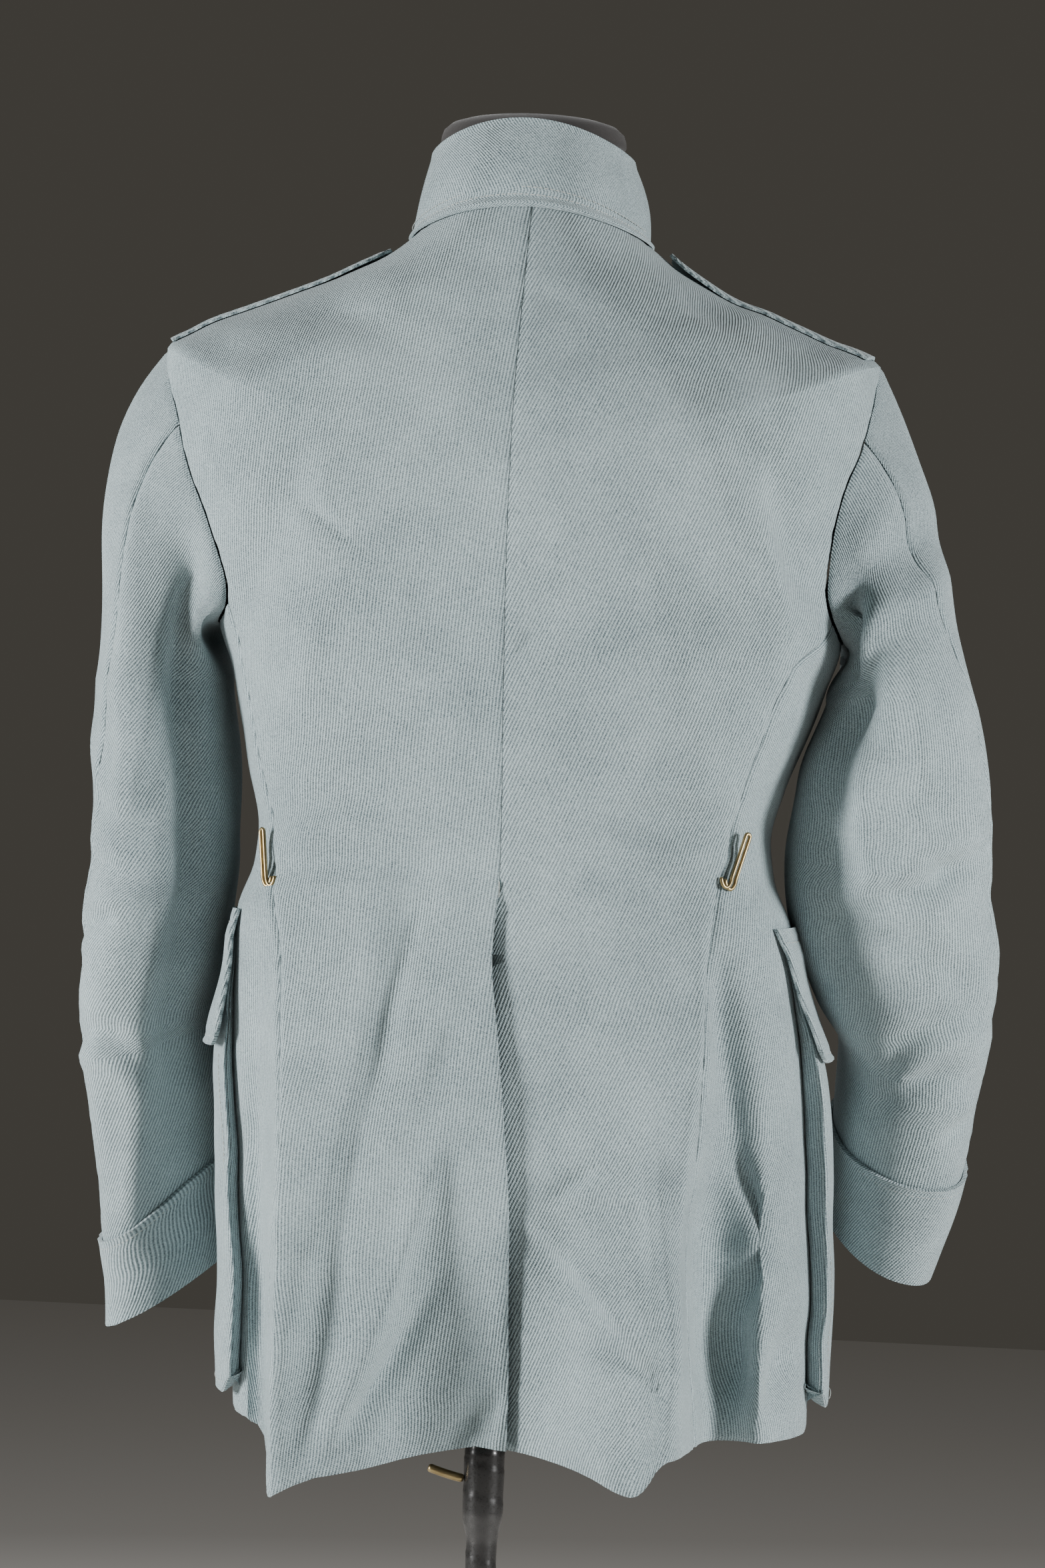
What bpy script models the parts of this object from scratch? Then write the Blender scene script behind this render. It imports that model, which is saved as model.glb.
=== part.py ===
"""A military tunic on a dress form.

The tunic is built from its cut pieces. Every panel is a strip of one worn body surface, which is lofted
through the rows of BODY_ROWS. Sleeves are lofted through SLEEVE_ROWS, and what lies on a panel is made
from that panel's points, moved out. The dress form is the same surface moved in, on a taped pole.

Metres, +Z up, origin on the floor under the pole. The front faces -Y and the wearer's left is +X.
An angle runs round the body: 0 at the centre back, 90 at the wearer's left side, 180 at the centre front.
A level is a height above the waist.
"""

import math

import bmesh
import bpy
import numpy as np
from mathutils import Matrix, Vector

WAIST_Z = 1.060
CLOTH = 0.002
GAP = 0.0003
HEM_LEVEL = -0.345
ARMPIT_LEVEL = 0.135
TIP_LEVEL = 0.300
NECK_LEVEL = 0.370
STEP = 0.0005

# The worn body, a row for each level: the height at the centre back and the centre front, the half widths
# on the wearer's left and right, the depth of the middle, the reach to the back and front, and squareness
BODY_COLUMNS = (
    "level", "back_z", "front_z", "left", "right", "middle", "back", "front", "power",
)
BODY_ROWS = (
    (-0.345, -0.345, -0.345, 0.153, 0.190, -0.004, 0.116, 0.136, 2.6),
    (-0.250, -0.250, -0.250, 0.153, 0.189, -0.003, 0.116, 0.134, 2.6),
    (-0.150, -0.150, -0.150, 0.157, 0.184, -0.002, 0.114, 0.131, 2.6),
    (-0.080, -0.080, -0.080, 0.159, 0.176, 0.000, 0.111, 0.125, 2.6),
    (-0.035, -0.035, -0.035, 0.158, 0.171, 0.000, 0.108, 0.119, 2.7),
    (-0.005, -0.005, -0.005, 0.150, 0.160, 0.000, 0.106, 0.113, 2.7),
    (0.015, 0.015, 0.015, 0.149, 0.158, 0.000, 0.107, 0.113, 2.7),
    (0.050, 0.050, 0.050, 0.156, 0.166, 0.000, 0.113, 0.117, 2.6),
    (0.090, 0.090, 0.090, 0.165, 0.182, 0.000, 0.121, 0.123, 2.5),
    (0.140, 0.140, 0.140, 0.178, 0.197, 0.000, 0.130, 0.127, 2.4),
    (0.200, 0.183, 0.178, 0.198, 0.208, 0.000, 0.134, 0.128, 2.3),
    (0.250, 0.214, 0.207, 0.210, 0.213, 0.002, 0.131, 0.128, 2.2),
    (0.300, 0.243, 0.235, 0.213, 0.213, 0.005, 0.124, 0.125, 2.1),
    (0.310, 0.262, 0.250, 0.1965, 0.185, 0.006, 0.1195, 0.118, 2.0),
    (0.325, 0.294, 0.270, 0.1640, 0.151, 0.008, 0.1085, 0.107, 2.0),
    (0.340, 0.325, 0.286, 0.1215, 0.1155, 0.008, 0.0965, 0.095, 2.0),
    (0.352, 0.350, 0.297, 0.0930, 0.0925, 0.007, 0.0865, 0.085, 2.0),
    (0.362, 0.371, 0.306, 0.0765, 0.0785, 0.006, 0.078, 0.075, 2.0),
    (0.370, 0.388, 0.313, 0.0665, 0.0675, 0.006, 0.067, 0.063, 2.0),
)

# Folds of the back skirt, each a ridge or trough pushed out along +Y. The columns are the side it is on, its
# place across the body at the waist and at the hem, its width in degrees towards the centre and towards the
# side, its height at the hem, the level where it starts, and 1 where its top is a sharp pleat
FOLD_ROWS = (
    (1, 0.1205, 0.1095, 30.0, 10.0, 0.043, -0.015, 1),
    (1, 0.138, 0.1255, 9.0, 9.0, -0.012, -0.030, 0),
    (-1, 0.126, 0.1150, 30.0, 9.0, 0.034, -0.030, 0),
    (-1, 0.138, 0.139, 8.0, 18.0, -0.032, -0.035, 0),
    (1, 0.000, 0.010, 30.0, 26.0, -0.026, -0.040, 0),
    (1, 0.060, 0.062, 12.0, 12.0, 0.004, -0.120, 0),
    (-1, 0.070, 0.066, 12.0, 12.0, 0.003, -0.150, 0),
)

# Where each cut edge crosses the body, by level: its distance from the middle on the left and the right
SIDE_BACK_SEAM = (
    (-0.345, 0.1135, 0.131),
    (-0.250, 0.119, 0.130),
    (-0.150, 0.117, 0.129),
    (-0.060, 0.119, 0.130),
    (-0.015, 0.128, 0.132),
    (0.022, 0.133, 0.139),
    (0.050, 0.140, 0.146),
    (0.078, 0.1475, 0.155),
    (0.100, 0.154, 0.163),
    (0.120, 0.159, 0.172),
    (0.146, 0.1655, 0.187),
)
VENT_EDGE = (
    (-0.345, -0.0225),
    (-0.300, -0.0220),
    (-0.250, -0.0200),
    (-0.200, -0.0187),
    (-0.150, -0.0149),
    (-0.100, -0.0107),
    (-0.050, -0.0085),
    (-0.014, -0.0074),
)
CENTRE_SEAM_X = -0.0070
COLLAR_SHIFT_X = -0.0020
VENT_TOP = -0.016
VENT_UNDERLAP = 0.024
SIDE_FRONT_SEAM = 104.0
FRONT_LAP = 0.020

# The hem's height by angle round the body, from the centre back, on the wearer's left and right
HEM_ROWS = (
    (0.0, -0.340, -0.338),
    (15.0, -0.349, -0.346),
    (25.0, -0.354, -0.3555),
    (27.5, -0.355, -0.351),
    (30.0, -0.357, -0.340),
    (32.5, -0.359, -0.335),
    (45.0, -0.368, -0.333),
    (53.0, -0.336, -0.332),
    (60.0, -0.332, -0.332),
    (90.0, -0.331, -0.333),
    (180.0, -0.343, -0.343),
)

# The armhole, by turn round it from the shoulder tip, back and down: the angle of its back edge on the
# wearer's left and right, and of its front edge
ARMHOLE_ROWS = (
    (0.0, 90.0, 90.0, 90.0),
    (20.0, 86.0, 87.0, 93.5),
    (40.0, 77.5, 82.0, 100.0),
    (65.0, 69.5, 74.0, 109.0),
    (90.0, 64.5, 67.5, 115.0),
    (110.0, 62.0, 66.0, 118.0),
    (130.0, 61.5, 67.5, 118.0),
    (150.0, 65.0, 74.0, 114.0),
    (165.0, 74.0, 81.0, 105.0),
    (180.0, 90.0, 90.0, 90.0),
)
SIDE_TOP_TURN = 150.0

# Each sleeve's sections down the arm: height from the waist, the centre's distance from the middle and its
# depth, the half widths across and fore and aft, and the degrees its rear edge is turned outward
SLEEVE_ROWS = {
    1: (
        (0.100, 0.2096, 0.004, 0.0406, 0.066, 0.0),
        (0.050, 0.2066, 0.003, 0.0421, 0.069, 0.0),
        (0.000, 0.2061, 0.000, 0.0421, 0.069, 2.0),
        (-0.050, 0.2121, -0.008, 0.0421, 0.066, 6.0),
        (-0.100, 0.2150, -0.018, 0.0377, 0.062, 12.0),
        (-0.150, 0.2080, -0.028, 0.0372, 0.058, 18.0),
        (-0.195, 0.2028, -0.038, 0.0322, 0.055, 24.0),
        (-0.238, 0.1996, -0.048, 0.0289, 0.049, 30.0),
        (-0.267, 0.2002, -0.053, 0.0284, 0.0480, 32.0),
    ),
    -1: (
        (0.100, 0.2340, 0.004, 0.0445, 0.066, 0.0),
        (0.050, 0.2298, 0.002, 0.0572, 0.066, 4.0),
        (0.000, 0.2293, -0.004, 0.0622, 0.062, 8.0),
        (-0.050, 0.2380, -0.018, 0.0565, 0.060, 10.0),
        (-0.100, 0.2470, -0.038, 0.0440, 0.060, 12.0),
        (-0.150, 0.2418, -0.058, 0.0388, 0.057, 16.0),
        (-0.190, 0.2360, -0.075, 0.0334, 0.053, 20.0),
        (-0.2225, 0.2275, -0.088, 0.0288, 0.0505, 24.0),
    ),
}
SLEEVE_END_LEAN = {1: 0.66, -1: 0.14}
HEAD_ROWS = 7
HEAD_SPREAD = {1: 0.84, -1: 0.49}
FOOT_SPREAD = {1: 0.85, -1: 0.60}
HEAD_LEAN = {1: 0.12, -1: 0.26}
HEAD_START = {1: 0.0008, -1: 0.0021}
HIND_SEAM = {
    1: ((0.0, 62.0), (0.25, 55.0), (0.5, 50.0), (0.72, 30.0), (0.88, 38.0), (1.0, 46.0)),
    -1: ((0.0, 62.0), (0.25, 50.0), (0.5, 22.0), (0.72, 20.0), (0.88, 26.0), (1.0, 30.0)),
}
FORE_SEAM = 246.0
SEAM_TURN = 0.4
SLEEVE_COLUMNS = 10
CUFF_DEPTH = 0.062

# The pocket and its flap, in metres along the cloth from the rear edge and as levels
POCKET_WIDTH = 0.165
POCKET_TOP = -0.050
POCKET_FOOT = -0.319
POCKET_STAND = {1: 0.0100, -1: 0.0135}
POCKET_LEVELS = (-0.050, -0.058, -0.070, -0.090, -0.114, -0.150, -0.190, -0.230, -0.270)
SEAT = 0.0007
FLAP_TOP = -0.034
FLAP_FOOT = -0.114
FLAP_STAND = {1: 0.0155, -1: 0.0185}
FLAP_OVERHANG = 0.006
REAR_EDGE = (
    (-0.345, 60.0, 84.0),
    (-0.270, 61.0, 83.0),
    (-0.200, 62.5, 81.0),
    (-0.130, 65.0, 79.0),
    (-0.065, 68.0, 76.0),
    (-0.034, 68.5, 71.0),
)

# The collar by angle: its foot and top at the back, side and front, as levels and half sizes
COLLAR_FOOT = {
    "back_z": 0.3845, "side_z": 0.3665, "front_z": 0.305,
    "side": 0.0715, "back": 0.0745, "front": 0.071,
}
COLLAR_TOP = {
    "back_z": 0.4325, "side_z": 0.4175, "front_z": 0.362,
    "side": 0.0610, "back": 0.0660, "front": 0.061,
}
COLLAR_FOOT_LEVEL = 0.3665
COLLAR_ROLL_ROWS = (
    (0.0008, 0.0, 0.0024, 0.0020),
    (0.0050, 0.0, 0.0036, 0.0020),
    (0.0062, 0.0030, 0.0042, 0.0030),
    (0.0062, 0.0090, 0.0042, 0.0090),
)
COLLAR_OPENING = 6.0

STRAP_HALF = 0.023
STRAP_RISE = 0.0007
BUTTON_RADIUS = 0.0105
BUTTON_LEVELS = (0.262, 0.190, 0.118, 0.046, -0.026, -0.098)

FORM_FOOT_LEVEL = -0.190
FORM_HALF = 0.166
FORM_NECK_HALF = 0.0520
NECK_MIDDLE_Y = 0.008
FORM_NECK_TOP = 0.4245
CAP_TOP = 0.4425
CLAMP_LEVEL = -0.375
BASE_RADIUS = 0.190
BASE_RISE = 0.034

CLOTH_BLUE = (0.330, 0.385, 0.395)
FORM_BLACK = (0.018, 0.016, 0.015)


def clear_scene():
    for thing in list(bpy.data.objects):
        bpy.data.objects.remove(thing, do_unlink=True)


def material(name, colour, roughness, metallic=0.0):
    """A plain Principled finish."""
    finish = bpy.data.materials.new(name)
    finish.use_nodes = True
    shader = finish.node_tree.nodes["Principled BSDF"]
    shader.inputs["Base Color"].default_value = (*colour, 1.0)
    shader.inputs["Roughness"].default_value = roughness
    shader.inputs["Metallic"].default_value = metallic
    return finish


def cloth(name):
    return material(name + "_twill", CLOTH_BLUE, 0.9)


def smooth_table(at, places, values):
    """A smooth curve through a table, flat beyond its ends, with slopes that never overshoot."""
    places, values = np.asarray(places, float), np.asarray(values, float)
    rise = np.diff(values) / np.diff(places)
    slope = np.zeros_like(values)
    same_way = rise[1:] * rise[:-1] > 0
    both = np.where(same_way, rise[1:] + rise[:-1], 1)
    slope[1:-1] = np.where(same_way, 2 * rise[1:] * rise[:-1] / both, 0)
    slope[0], slope[-1] = rise[0], rise[-1]
    at = np.clip(np.asarray(at, float), places[0], places[-1])
    row = np.clip(np.searchsorted(places, at, side="right") - 1, 0, len(places) - 2)
    span = places[row + 1] - places[row]
    part = (at - places[row]) / span
    return (
        values[row] * (1 + 2 * part) * (1 - part) ** 2
        + slope[row] * span * part * (1 - part) ** 2
        + values[row + 1] * part**2 * (3 - 2 * part)
        + slope[row + 1] * span * part**2 * (part - 1)
    )


def body_value(name, level):
    column = BODY_COLUMNS.index(name)
    return smooth_table(level, [row[0] for row in BODY_ROWS], [row[column] for row in BODY_ROWS])


def by_level(rows, level, column=1):
    """A column of a table whose first column is the level, and whose rows may run up or down."""
    rows = sorted(rows)
    return smooth_table(level, [row[0] for row in rows], [row[column] for row in rows])


def angle_at(across, level):
    """The angle of the point of the back whose distance across, + to the wearer's left, is given."""
    across, level = np.broadcast_arrays(np.asarray(across, float), np.asarray(level, float))
    half = np.where(across >= 0, body_value("left", level), body_value("right", level))
    ratio = np.clip(np.abs(across) / half, 0, 1)
    return np.degrees(np.sign(across) * np.arcsin(ratio ** (body_value("power", level) / 2)))


def eased(value):
    value = np.clip(value, 0, 1)
    return value * value * (3 - 2 * value)


def fold_push(angle, level):
    """How far the back's folds push the cloth along +Y."""
    push = np.zeros(np.broadcast(angle, level).shape)
    for side, waist_x, hem_x, inner, outer, height, start, sharp in FOLD_ROWS:
        grown = np.clip((start - level) / (start - HEM_LEVEL), 0, 1)
        centre = angle_at(side * (waist_x + (hem_x - waist_x) * grown), level)
        apart = (angle - centre) * side
        part = np.clip(np.abs(apart) / np.where(apart < 0, inner, outer), 0, 1)
        keen = np.clip(np.sqrt(part**2 + 0.012) - 0.11 + 0.11 * part, 0, 1)
        shape = (1 - keen) ** 1.4 if sharp else 0.5 + 0.5 * np.cos(math.pi * part)
        push += height * eased(grown * 1.15) * shape
    return push


def body_point(angle, level):
    """Points of the worn body surface, an array of x, y and z."""
    angle, level = np.broadcast_arrays(np.asarray(angle, float), np.asarray(level, float))
    turn = np.radians(angle)
    sine, cosine = np.sin(turn), np.cos(turn)
    power = 2 / body_value("power", level)
    half = np.where(sine >= 0, body_value("left", level), body_value("right", level))
    reach = np.where(cosine >= 0, body_value("back", level), body_value("front", level))
    x = half * np.sign(sine) * np.abs(sine) ** power
    y = body_value("middle", level) + reach * np.sign(cosine) * np.abs(cosine) ** power
    folded = np.degrees(np.arctan2(sine, cosine))
    y = y + fold_push(folded, level)
    # The height's rise or drop holds below the last row, so that the hem keeps its curve
    held = np.clip(level, BODY_ROWS[0][0], BODY_ROWS[-1][0])
    rise = np.where(cosine >= 0, body_value("back_z", level), body_value("front_z", level)) - held
    z = level + rise * cosine**2
    neck = np.clip((level - TIP_LEVEL) / (NECK_LEVEL - TIP_LEVEL), 0, 1)
    return np.stack([x + COLLAR_SHIFT_X * eased(neck), y, z + WAIST_Z], axis=-1)


def unit(vectors):
    return vectors / np.maximum(np.linalg.norm(vectors, axis=-1, keepdims=True), 1e-12)


def body_normal(angle, level):
    turn_step = math.degrees(STEP / 0.15) * 4
    around = body_point(angle + turn_step, level) - body_point(angle - turn_step, level)
    rise = 4 * STEP
    up = body_point(angle, np.minimum(level + rise, NECK_LEVEL)) - body_point(angle, level - rise)
    return unit(np.cross(up, around))


def off_body(angle, level, out):
    """Points moved out of the body surface, by a distance or an array of them."""
    angle, level = np.broadcast_arrays(np.asarray(angle, float), np.asarray(level, float))
    return body_point(angle, level) + body_normal(angle, level) * np.asarray(out)[..., None]


def object_from(name, vertices, faces, finish):
    """A mesh object with its faces pointing out, whichever way they were listed."""
    mesh = bpy.data.meshes.new(name)
    mesh.from_pydata([tuple(v) for v in vertices], [], faces)
    work = bmesh.new()
    work.from_mesh(mesh)
    if work.calc_volume(signed=True) < 0:
        bmesh.ops.reverse_faces(work, faces=work.faces)
    work.to_mesh(mesh)
    work.free()
    mesh.shade_smooth()
    mesh.set_sharp_from_angle(angle=math.radians(40))
    mesh.materials.append(finish)
    thing = bpy.data.objects.new(name, mesh)
    bpy.context.scene.collection.objects.link(thing)
    return thing


def wall(name, outer, inner, finish, ring=False):
    """A closed solid between two grids of points: a panel, or with ring a tube round its columns."""
    rows, columns = outer.shape[:2]
    vertices = np.concatenate([outer.reshape(-1, 3), inner.reshape(-1, 3)])
    back = rows * columns

    def at(i, j, layer=0):
        return layer * back + i * columns + j % columns

    faces = []
    spans = columns if ring else columns - 1
    for i in range(rows - 1):
        for j in range(spans):
            faces.append((at(i, j), at(i, j + 1), at(i + 1, j + 1), at(i + 1, j)))
            faces.append((at(i, j, 1), at(i + 1, j, 1), at(i + 1, j + 1, 1), at(i, j + 1, 1)))
    for j in range(spans):
        faces.append((at(0, j, 1), at(0, j + 1, 1), at(0, j + 1), at(0, j)))
        last = rows - 1
        faces.append((at(last, j), at(last, j + 1), at(last, j + 1, 1), at(last, j, 1)))
    if not ring:
        last = columns - 1
        for i in range(rows - 1):
            faces.append((at(i, 0, 1), at(i, 0), at(i + 1, 0), at(i + 1, 0, 1)))
            faces.append((at(i, last), at(i, last, 1), at(i + 1, last, 1), at(i + 1, last)))
    return object_from(name, vertices, faces, finish)


def lathe(name, profile, finish, sides=32, centre=(0.0, 0.0)):
    """A turned solid from (radius, z) pairs listed from its foot's middle to its top's middle."""
    vertices, faces = [(centre[0], centre[1], profile[0][1])], []
    for radius, z in profile[1:-1]:
        for k in range(sides):
            turn = 2 * math.pi * k / sides
            vertices.append((centre[0] + radius * math.cos(turn), centre[1] + radius * math.sin(turn), z))
    vertices.append((centre[0], centre[1], profile[-1][1]))
    rings = len(profile) - 2
    top = len(vertices) - 1
    for k in range(sides):
        after = (k + 1) % sides
        faces.append((0, 1 + after, 1 + k))
        faces.append((top, 1 + (rings - 1) * sides + k, 1 + (rings - 1) * sides + after))
        for i in range(rings - 1):
            low, high = 1 + i * sides, 1 + (i + 1) * sides
            faces.append((low + k, low + after, high + after, high + k))
    return object_from(name, vertices, faces, finish)


def armhole(turn, side):
    """The angle and level of a point of the armhole, by turn from the shoulder tip over the back."""
    turn = np.asarray(turn, float) % 360
    folded = np.where(turn > 180, 360 - turn, turn)
    places = [row[0] for row in ARMHOLE_ROWS]
    back = smooth_table(folded, places, [row[1 if side > 0 else 2] for row in ARMHOLE_ROWS])
    front = smooth_table(folded, places, [row[3] for row in ARMHOLE_ROWS])
    middle = (TIP_LEVEL + ARMPIT_LEVEL) / 2
    level = middle + (TIP_LEVEL - middle) * np.cos(np.radians(folded))
    return side * np.where(turn > 180, front, back), level


def hem_level(angle):
    """The hem's height at an angle."""
    angle = np.asarray(angle, float)
    around = np.abs((angle + 180) % 360 - 180)
    left = (angle + 180) % 360 >= 180
    places = [row[0] for row in HEM_ROWS]
    on_left = smooth_table(around, places, [row[1] for row in HEM_ROWS])
    on_right = smooth_table(around, places, [row[2] for row in HEM_ROWS])
    return np.where(left, on_left, on_right)


def with_hem(angle, level):
    """Levels with the lowest rows moved to the hem's curve."""
    low = np.clip((0.0 - level) / (0.0 - HEM_LEVEL), 0, 1)
    return level + (hem_level(angle) - HEM_LEVEL) * low**2


SKIRT_LEVELS = (-0.345, -0.315, -0.285, -0.25, -0.215, -0.18, -0.145, -0.11, -0.08, -0.055, -0.034)
TORSO_LEVELS = (-0.016, -0.005, 0.012, 0.035, 0.06, 0.09, 0.118)
ARMHOLE_TURNS = (150.0, 132.0, 114.0, 96.0, 78.0, 60.0, 42.0, 22.0, 0.0)
SHOULDER_LEVELS = (0.309, 0.324, 0.340, 0.352, 0.362, 0.370)


def seam_angle(level, side, inset=0.0):
    """The angle of the side-back seam, moved towards the side by inset."""
    across = by_level(SIDE_BACK_SEAM, level, 1 if side > 0 else 2)
    return angle_at(side * (across + inset), level)


def build_back(side):
    """One back panel, from the centre seam and vent to the side-back seam, the armhole and the shoulder."""
    rows = []
    for level in SKIRT_LEVELS + TORSO_LEVELS:
        rows.append((level, float(seam_angle(level, side, -GAP / 2))))
    for turn in ARMHOLE_TURNS:
        angle, level = armhole(turn, side)
        rows.append((float(level), float(angle) - side * 0.12))
    for level in SHOULDER_LEVELS:
        rows.append((level, side * 89.86))
    levels = np.array([row[0] for row in rows])
    outer_edge = np.array([row[1] for row in rows])
    centre_x = np.full(len(levels), CENTRE_SEAM_X + side * GAP / 2)
    out = np.zeros(len(levels))
    below = levels < VENT_TOP + 0.001
    if side > 0:
        centre_x = np.where(levels < VENT_TOP - 0.01, by_level(VENT_EDGE, levels), centre_x)
        out = np.where(below, CLOTH + GAP, 0.0)
        out = out + 0.004 * np.clip((VENT_TOP - levels) / 0.12, 0, 1)
    else:
        centre_x = np.where(levels < VENT_TOP - 0.01, VENT_UNDERLAP, centre_x)
    inner_edge = angle_at(centre_x, levels)
    share = np.linspace(0, 1, 12)
    angles = inner_edge[:, None] + (outer_edge - inner_edge)[:, None] * share[None, :]
    grid_levels = with_hem(angles, np.repeat(levels[:, None], len(share), axis=1))
    lift = out[:, None] * (1 - eased((share - 0.38) / 0.4))[None, :]
    name = "back_left" if side > 0 else "back_right"
    outer = off_body(angles, grid_levels, lift)
    inner = off_body(angles, grid_levels, lift - CLOTH)
    return wall(name, outer, inner, cloth(name))


def build_side(side):
    """The side body, between the side-back and side-front seams, up to the foot of the armhole."""
    turns = np.linspace(SIDE_TOP_TURN, 360 - SIDE_TOP_TURN, 8)
    top_angle, top_level = armhole(turns, side)
    share = (top_angle - top_angle[0]) / (top_angle[-1] - top_angle[0])
    levels = np.array(SKIRT_LEVELS + TORSO_LEVELS)
    first = seam_angle(levels, side, GAP / 2)
    last = np.full(len(levels), side * (SIDE_FRONT_SEAM - 0.06))
    angles = first[:, None] + (last - first)[:, None] * share[None, :]
    grid_levels = np.repeat(levels[:, None], len(share), axis=1)
    grid_levels = with_hem(angles, grid_levels)
    angles = np.vstack([angles, top_angle[None, :]])
    grid_levels = np.vstack([grid_levels, top_level[None, :]])
    name = "side_left" if side > 0 else "side_right"
    outer = off_body(angles, grid_levels, 0.0)
    inner = off_body(angles, grid_levels, -CLOTH)
    return wall(name, outer, inner, cloth(name))


def lap_lift(angle, level):
    """How far out the left front lies near the closing, where it laps over the right one."""
    turn = np.radians(np.asarray(angle, float))
    half = body_value("left", level)
    x = half * np.sign(np.sin(turn)) * np.abs(np.sin(turn)) ** (2 / body_value("power", level))
    over = eased((0.056 - x) / 0.028) * eased((x + FRONT_LAP + 0.010) / 0.007)
    return (CLOTH + 3 * GAP) * np.where(np.cos(turn) < 0, over, 0.0)


def build_front(side):
    """One front, plain, from the side-front seam, armhole and shoulder to the closing at the centre."""
    rows = [(level, side * (SIDE_FRONT_SEAM + 0.06)) for level in SKIRT_LEVELS + TORSO_LEVELS]
    for turn in ARMHOLE_TURNS:
        angle, level = armhole(360 - turn if turn else 360.0, side)
        angle = side * 90.0 if turn == 0 else float(angle)
        rows.append((float(level), float(angle) + side * 0.12))
    for level in SHOULDER_LEVELS:
        rows.append((level, side * 90.14))
    levels = np.array([row[0] for row in rows])
    first = np.array([row[1] for row in rows])
    half = body_value("right" if side > 0 else "left", levels)
    past = np.degrees(np.arcsin((FRONT_LAP / half) ** (body_value("power", levels) / 2)))
    last = side * (180.0 + past)
    share = np.array([0.0, 0.17, 0.34, 0.50, 0.64, 0.76, 0.84, 0.92, 1.0])
    angles = first[:, None] + (last - first)[:, None] * share[None, :]
    grid_levels = with_hem(angles, np.repeat(levels[:, None], len(share), axis=1))
    lift = lap_lift(angles, grid_levels) * (side > 0)
    name = "front_left" if side > 0 else "front_right"
    outer = off_body(angles, grid_levels, lift)
    inner = off_body(angles, grid_levels, lift - CLOTH)
    return wall(name, outer, inner, cloth(name))


def sleeve_value(side, down, column):
    """A column of a sleeve's table at a share of its way from the first row to the last."""
    rows = SLEEVE_ROWS[side]
    span = rows[0][0] - rows[-1][0]
    return smooth_table(down, [(rows[0][0] - row[0]) / span for row in rows], [row[column] for row in rows])


def sleeve_ring(side, turn, down):
    """Points of a sleeve below the armpit, by turn round it from the outside over the back."""
    turn, down = np.broadcast_arrays(np.radians(np.asarray(turn, float)), np.asarray(down, float))
    centre = np.stack([side * sleeve_value(side, down, 1), sleeve_value(side, down, 2),
                       WAIST_Z + sleeve_value(side, down, 0)], axis=-1)
    step = 0.02
    ahead, behind = np.minimum(down + step, 1), np.maximum(down - step, 0)
    way = np.stack([side * (sleeve_value(side, ahead, 1) - sleeve_value(side, behind, 1)),
                    sleeve_value(side, ahead, 2) - sleeve_value(side, behind, 2),
                    sleeve_value(side, ahead, 0) - sleeve_value(side, behind, 0)], axis=-1)
    turned = eased(down * 3)[..., None]
    way = unit(way) * turned + np.array([0.0, 0.0, -1.0]) * (1 - turned)
    way = unit(way)
    outward = np.zeros_like(way)
    outward[..., 0] = side
    outward = unit(outward - way * np.sum(outward * way, axis=-1, keepdims=True))
    rear = np.cross(way, outward) * side
    rear = rear * np.sign(rear[..., 1:2])
    power = 2 / 2.25
    across = sleeve_value(side, down, 3) * np.sign(np.cos(turn)) * np.abs(np.cos(turn)) ** power
    fore = sleeve_value(side, down, 4) * np.sign(np.sin(turn)) * np.abs(np.sin(turn)) ** power
    twist = np.radians(sleeve_value(side, down, 5))
    outside = across * np.cos(twist) + fore * np.sin(twist)
    behind = fore * np.cos(twist) - across * np.sin(twist)
    points = centre + outward * outside[..., None] + rear * behind[..., None]
    # Towards its end the sleeve hangs lower on the outside
    points[..., 2] = points[..., 2] - SLEEVE_END_LEAN[side] * eased(down * 2.5 - 1.25) * outside
    return points


def sleeve_point(side, turn, along):
    """Points of a whole sleeve: along runs from -1 at the armhole through 0 below the armpit to 1."""
    turn, along = np.broadcast_arrays(np.asarray(turn, float), np.asarray(along, float))
    lower = sleeve_ring(side, turn, np.clip(along, 0, 1))
    angle, level = armhole(turn, side)
    start = body_point(angle, level) + np.array([side * HEAD_START[side], 0.0, 0.0])
    end = sleeve_ring(side, turn, np.zeros_like(along))
    length = np.linalg.norm(end - start, axis=-1, keepdims=True)
    radians = np.radians(turn)
    top = np.clip(np.cos(radians), 0, 1)
    foot = np.clip(-np.cos(radians), 0, 1)
    leave = np.stack([side * (0.55 + (HEAD_SPREAD[side] - 0.55) * top + FOOT_SPREAD[side] * foot),
                      -0.12 * np.abs(np.sin(radians)),
                      -0.80 - 0.15 * top + 0.35 * foot], axis=-1) * length
    arrive = np.stack([side * HEAD_LEAN[side] + 0 * turn, 0 * turn, 0 * turn - 1], axis=-1) * length
    part = np.clip(along + 1, 0, 1)[..., None]
    head = (start * (1 + 2 * part) * (1 - part) ** 2 + leave * part * (1 - part) ** 2
            + end * part**2 * (3 - 2 * part) + arrive * part**2 * (part - 1))
    return np.where((along < 0)[..., None], head, lower)


def off_sleeve(side, turn, along, out):
    """Points moved out of a sleeve's surface."""
    turn, along = np.broadcast_arrays(np.asarray(turn, float), np.asarray(along, float))
    around = sleeve_point(side, turn + 1.5, along) - sleeve_point(side, turn - 1.5, along)
    down = (sleeve_point(side, turn, np.minimum(along + 0.01, 1))
            - sleeve_point(side, turn, np.maximum(along - 0.01, -1)))
    normal = unit(np.cross(around, down)) * side
    centre = sleeve_point(side, turn, along) - sleeve_point(side, turn + 180, along)
    normal = normal * np.where(np.sum(normal * centre, axis=-1, keepdims=True) < 0, -1, 1)
    return sleeve_point(side, turn, along) + normal * np.asarray(out)[..., None]


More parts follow.
